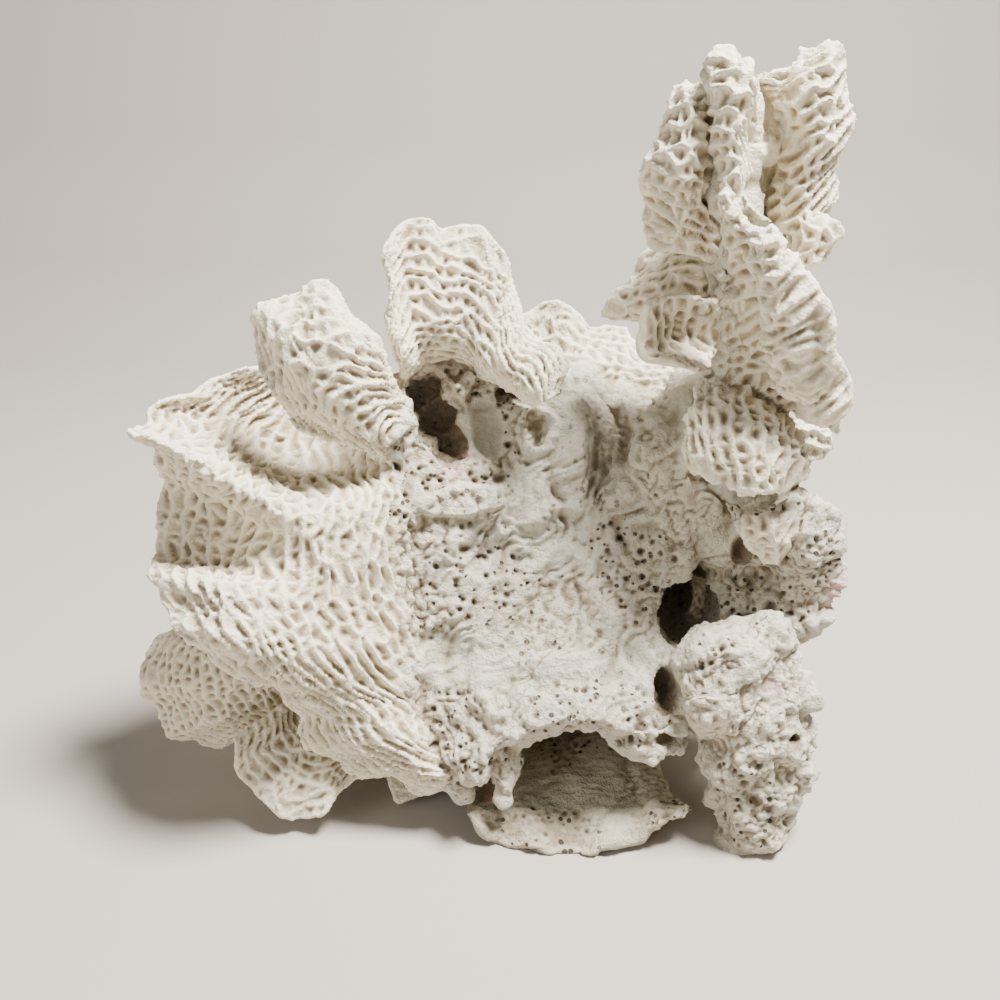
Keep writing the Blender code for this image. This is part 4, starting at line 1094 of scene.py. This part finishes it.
def skeleton(name, shade=NO_SHADE):
    """Dry coral skeleton: chalky, with a sugary grain, painted shade in its cells, folds, pores and
    holes, and the given painted shade over all of it.
    """
    material = bpy.data.materials.new(name)
    material.use_nodes = True
    tree = material.node_tree
    shader = tree.nodes["Principled BSDF"]
    wire = Wire(tree)

    def look(attribute):
        return wire.node("ShaderNodeAttribute", {"attribute_name": attribute}, out=2)

    place = wire.node("ShaderNodeTexCoord", out=3)

    def clouds(scale, detail, roughness=0.5):
        sockets = {"Vector": place, "Scale": scale, "Detail": detail, "Roughness": roughness}
        return wire.node("ShaderNodeTexNoise", None, sockets)

    sugar, cloud, crumbly = clouds(900.0, 3.0), clouds(45.0, 3.0), clouds(330.0, 5.0, 0.7)
    specks = wire.node("ShaderNodeTexVoronoi", None, {"Vector": place, "Scale": 230.0})
    on_rock, valley, smooth, porous = look("rock"), look("valley"), look("smooth_place"), look("porous")
    # Pinholes: small dark spots that paint the shade inside fine pores, also sunk into the bump.
    pinholes = ((cloud * 0.36 + 0.03 - specks) * 15.0).held()
    pinholes = pinholes * ((porous - 0.35) * 3.0 + (cloud - 0.5) * 3.0).held()
    # The cell floors: partly their own yellowish tint, partly painted shade, by how deep a point lies
    # in its cell.
    creamy_with_cell_shade = layered(CREST, ((valley - 0.36) * 1.9 + (cloud - 0.5) * 0.7, CELL_FLOOR_TINT_AND_SHADE))
    # Painted shade: in the creases of the rock, less where it is smooth, and in the deep folds over
    # all.
    creases = (valley - 0.42) * (2.8 - smooth * 1.6)
    chalk_with_crease_shade = layered(CHALK, (smooth * 0.8, GROOVE_COOL), (porous * 0.45, WORN), (creases, FOLD_SHADE))
    colour = layered(
        on_rock.mixed(creamy_with_cell_shade, chalk_with_crease_shade), ((look("fold") - 0.55) * 1.6, FOLD_SHADE),
        (look("pores") * 1.2 - 0.25, PORE_SHADE), (pinholes, PORE_SHADE),
        (look("dirt") * 0.85, HOLE_SHADE), (look("pink"), PINK),
    )
    # A painted shade multiplied over the whole colour: none on most forks, a darker one on the low
    # plate.
    shading = {"data_type": "RGBA", "blend_type": "MULTIPLY"}
    colour = wire.node("ShaderNodeMix", shading, {0: 1.0, 6: colour, 7: shade}, out=2)
    tree.links.new(colour.socket, shader.inputs["Base Color"])
    shader.inputs["Roughness"].default_value = CHALKY_ROUGHNESS
    shader.inputs["Specular IOR Level"].default_value = CHALKY_SHEEN
    height = sugar * 0.35 + crumbly * (on_rock * 1.2 + 0.4) - pinholes
    sockets = {"Strength": 1.0, "Distance": SUGAR_HEIGHT, "Height": height}
    bump = wire.node("ShaderNodeBump", None, sockets)
    tree.links.new(bump.socket, shader.inputs["Normal"])
    return material


finishes = {
    "leaf": skeleton("ridged_leaf"),
    "rock": skeleton("porous_rock"),
    "shaded_plate": skeleton("shaded_plate", PLATE_SHADE),
}

# Each fork takes the faces that lie nearest to it. The share of the core is much the largest, so
# it is cut into a front, a middle and a back.
CORE_CUTS = (0.36, 0.68)


def dressed(part, chosen, obj):
    """Gives the fork's object its share of the skin: the faces that lie nearest to it."""
    mine = faces[chosen]
    used = np.unique(mine)
    place = np.zeros(len(points), dtype=np.int64)
    place[used] = np.arange(len(used))
    mesh = mesh_of(obj.name, points[used], place[mine])
    for name, values in looks.items():
        layer = mesh.attributes.new(name, "FLOAT", "POINT")
        layer.data.foreach_set("value", values[used].astype(np.float32))
    mesh.shade_smooth()
    mesh.normals_split_custom_set_from_vertices(normals[used])
    mesh.materials.append(finishes[part["slot"]])
    obj.data = mesh


face_owner = owner[faces[:, 0]]
face_depth = points[faces[:, 0], 1]
for number, part in enumerate(forks):
    mine = face_owner == number
    if part["object"].name != "core_rock_skin":
        dressed(part, mine, part["object"])
        continue
    layer = np.searchsorted(np.quantile(face_depth[mine], CORE_CUTS), face_depth, side="right")
    dressed(part, mine & (layer == 0), part["object"])
    for behind, name in enumerate(("core_middle_skin", "core_back_skin"), 1):
        obj = standing_for("core_rock", name, bpy.data.meshes.new(name))
        dressed(part, mine & (layer == behind), obj)

# The studio: a warm grey floor that sweeps up behind, a strong light high above and at the right, a
# weak wide one low at the front left, and a dim white world. The camera stands where the control
# points are plotted from.
PAPER_COLOUR = (0.40, 0.37, 0.33, 1.0)
PAPER_ROUGHNESS = 0.9
WORLD_COLOUR = (1.0, 0.985, 0.96, 1.0)
WORLD_STRENGTH = 0.13
LAMP_COLOUR = (1.0, 0.965, 0.91)
LAMPS_TOWARD = Vector((0.0, 0.0, 0.12))
SENSOR_WIDTH = 36.0
floor_profile = [(-1.6, -0.0001), (0.55, -0.0001), (0.8, 0.04), (0.95, 0.16), (1.0, 0.4), (1.0, 2.2)]
sweep = np.array([[(x, y, z) for y, z in floor_profile] for x in (-2.5, 2.5)])
floor = placed("floor", mesh_of("floor", sweep.reshape(-1, 3), numbered(sweep)[1]))
floor.data.shade_smooth()
paper = bpy.data.materials.new("paper")
paper.use_nodes = True
shader = paper.node_tree.nodes["Principled BSDF"]
shader.inputs["Base Color"].default_value = PAPER_COLOUR
shader.inputs["Roughness"].default_value = PAPER_ROUGHNESS
floor.data.materials.append(paper)

world = bpy.data.worlds.new("studio")
bpy.context.scene.world = world
world.use_nodes = True
background = world.node_tree.nodes["Background"]
background.inputs["Color"].default_value = WORLD_COLOUR
background.inputs["Strength"].default_value = WORLD_STRENGTH


def soft_light(name, place, size, power):
    """A round lamp that shines at the coral and isn't seen itself."""
    lamp = bpy.data.lights.new(name, "AREA")
    lamp.shape = "DISK"
    lamp.size = size
    lamp.energy = power
    lamp.color = LAMP_COLOUR
    obj = placed(name, lamp)
    obj.location = place
    obj.rotation_euler = (LAMPS_TOWARD - Vector(place)).to_track_quat("-Z", "Y").to_euler()
    obj.visible_camera = False


soft_light("key", (0.40, -0.08, 1.2), 0.34, 80.0)
soft_light("fill", (-0.9, -0.8, 0.6), 0.8, 6.5)

camera = bpy.data.cameras.new("camera")
camera.sensor_width = SENSOR_WIDTH
camera.lens = SENSOR_WIDTH * FRAME_FOCAL / (2 * FRAME_CENTRE)
viewer = placed("camera", camera)
viewer.location = EYE
viewer.rotation_euler = (math.radians(90) - EYE_TILT, 0.0, 0.0)
bpy.context.scene.camera = viewer
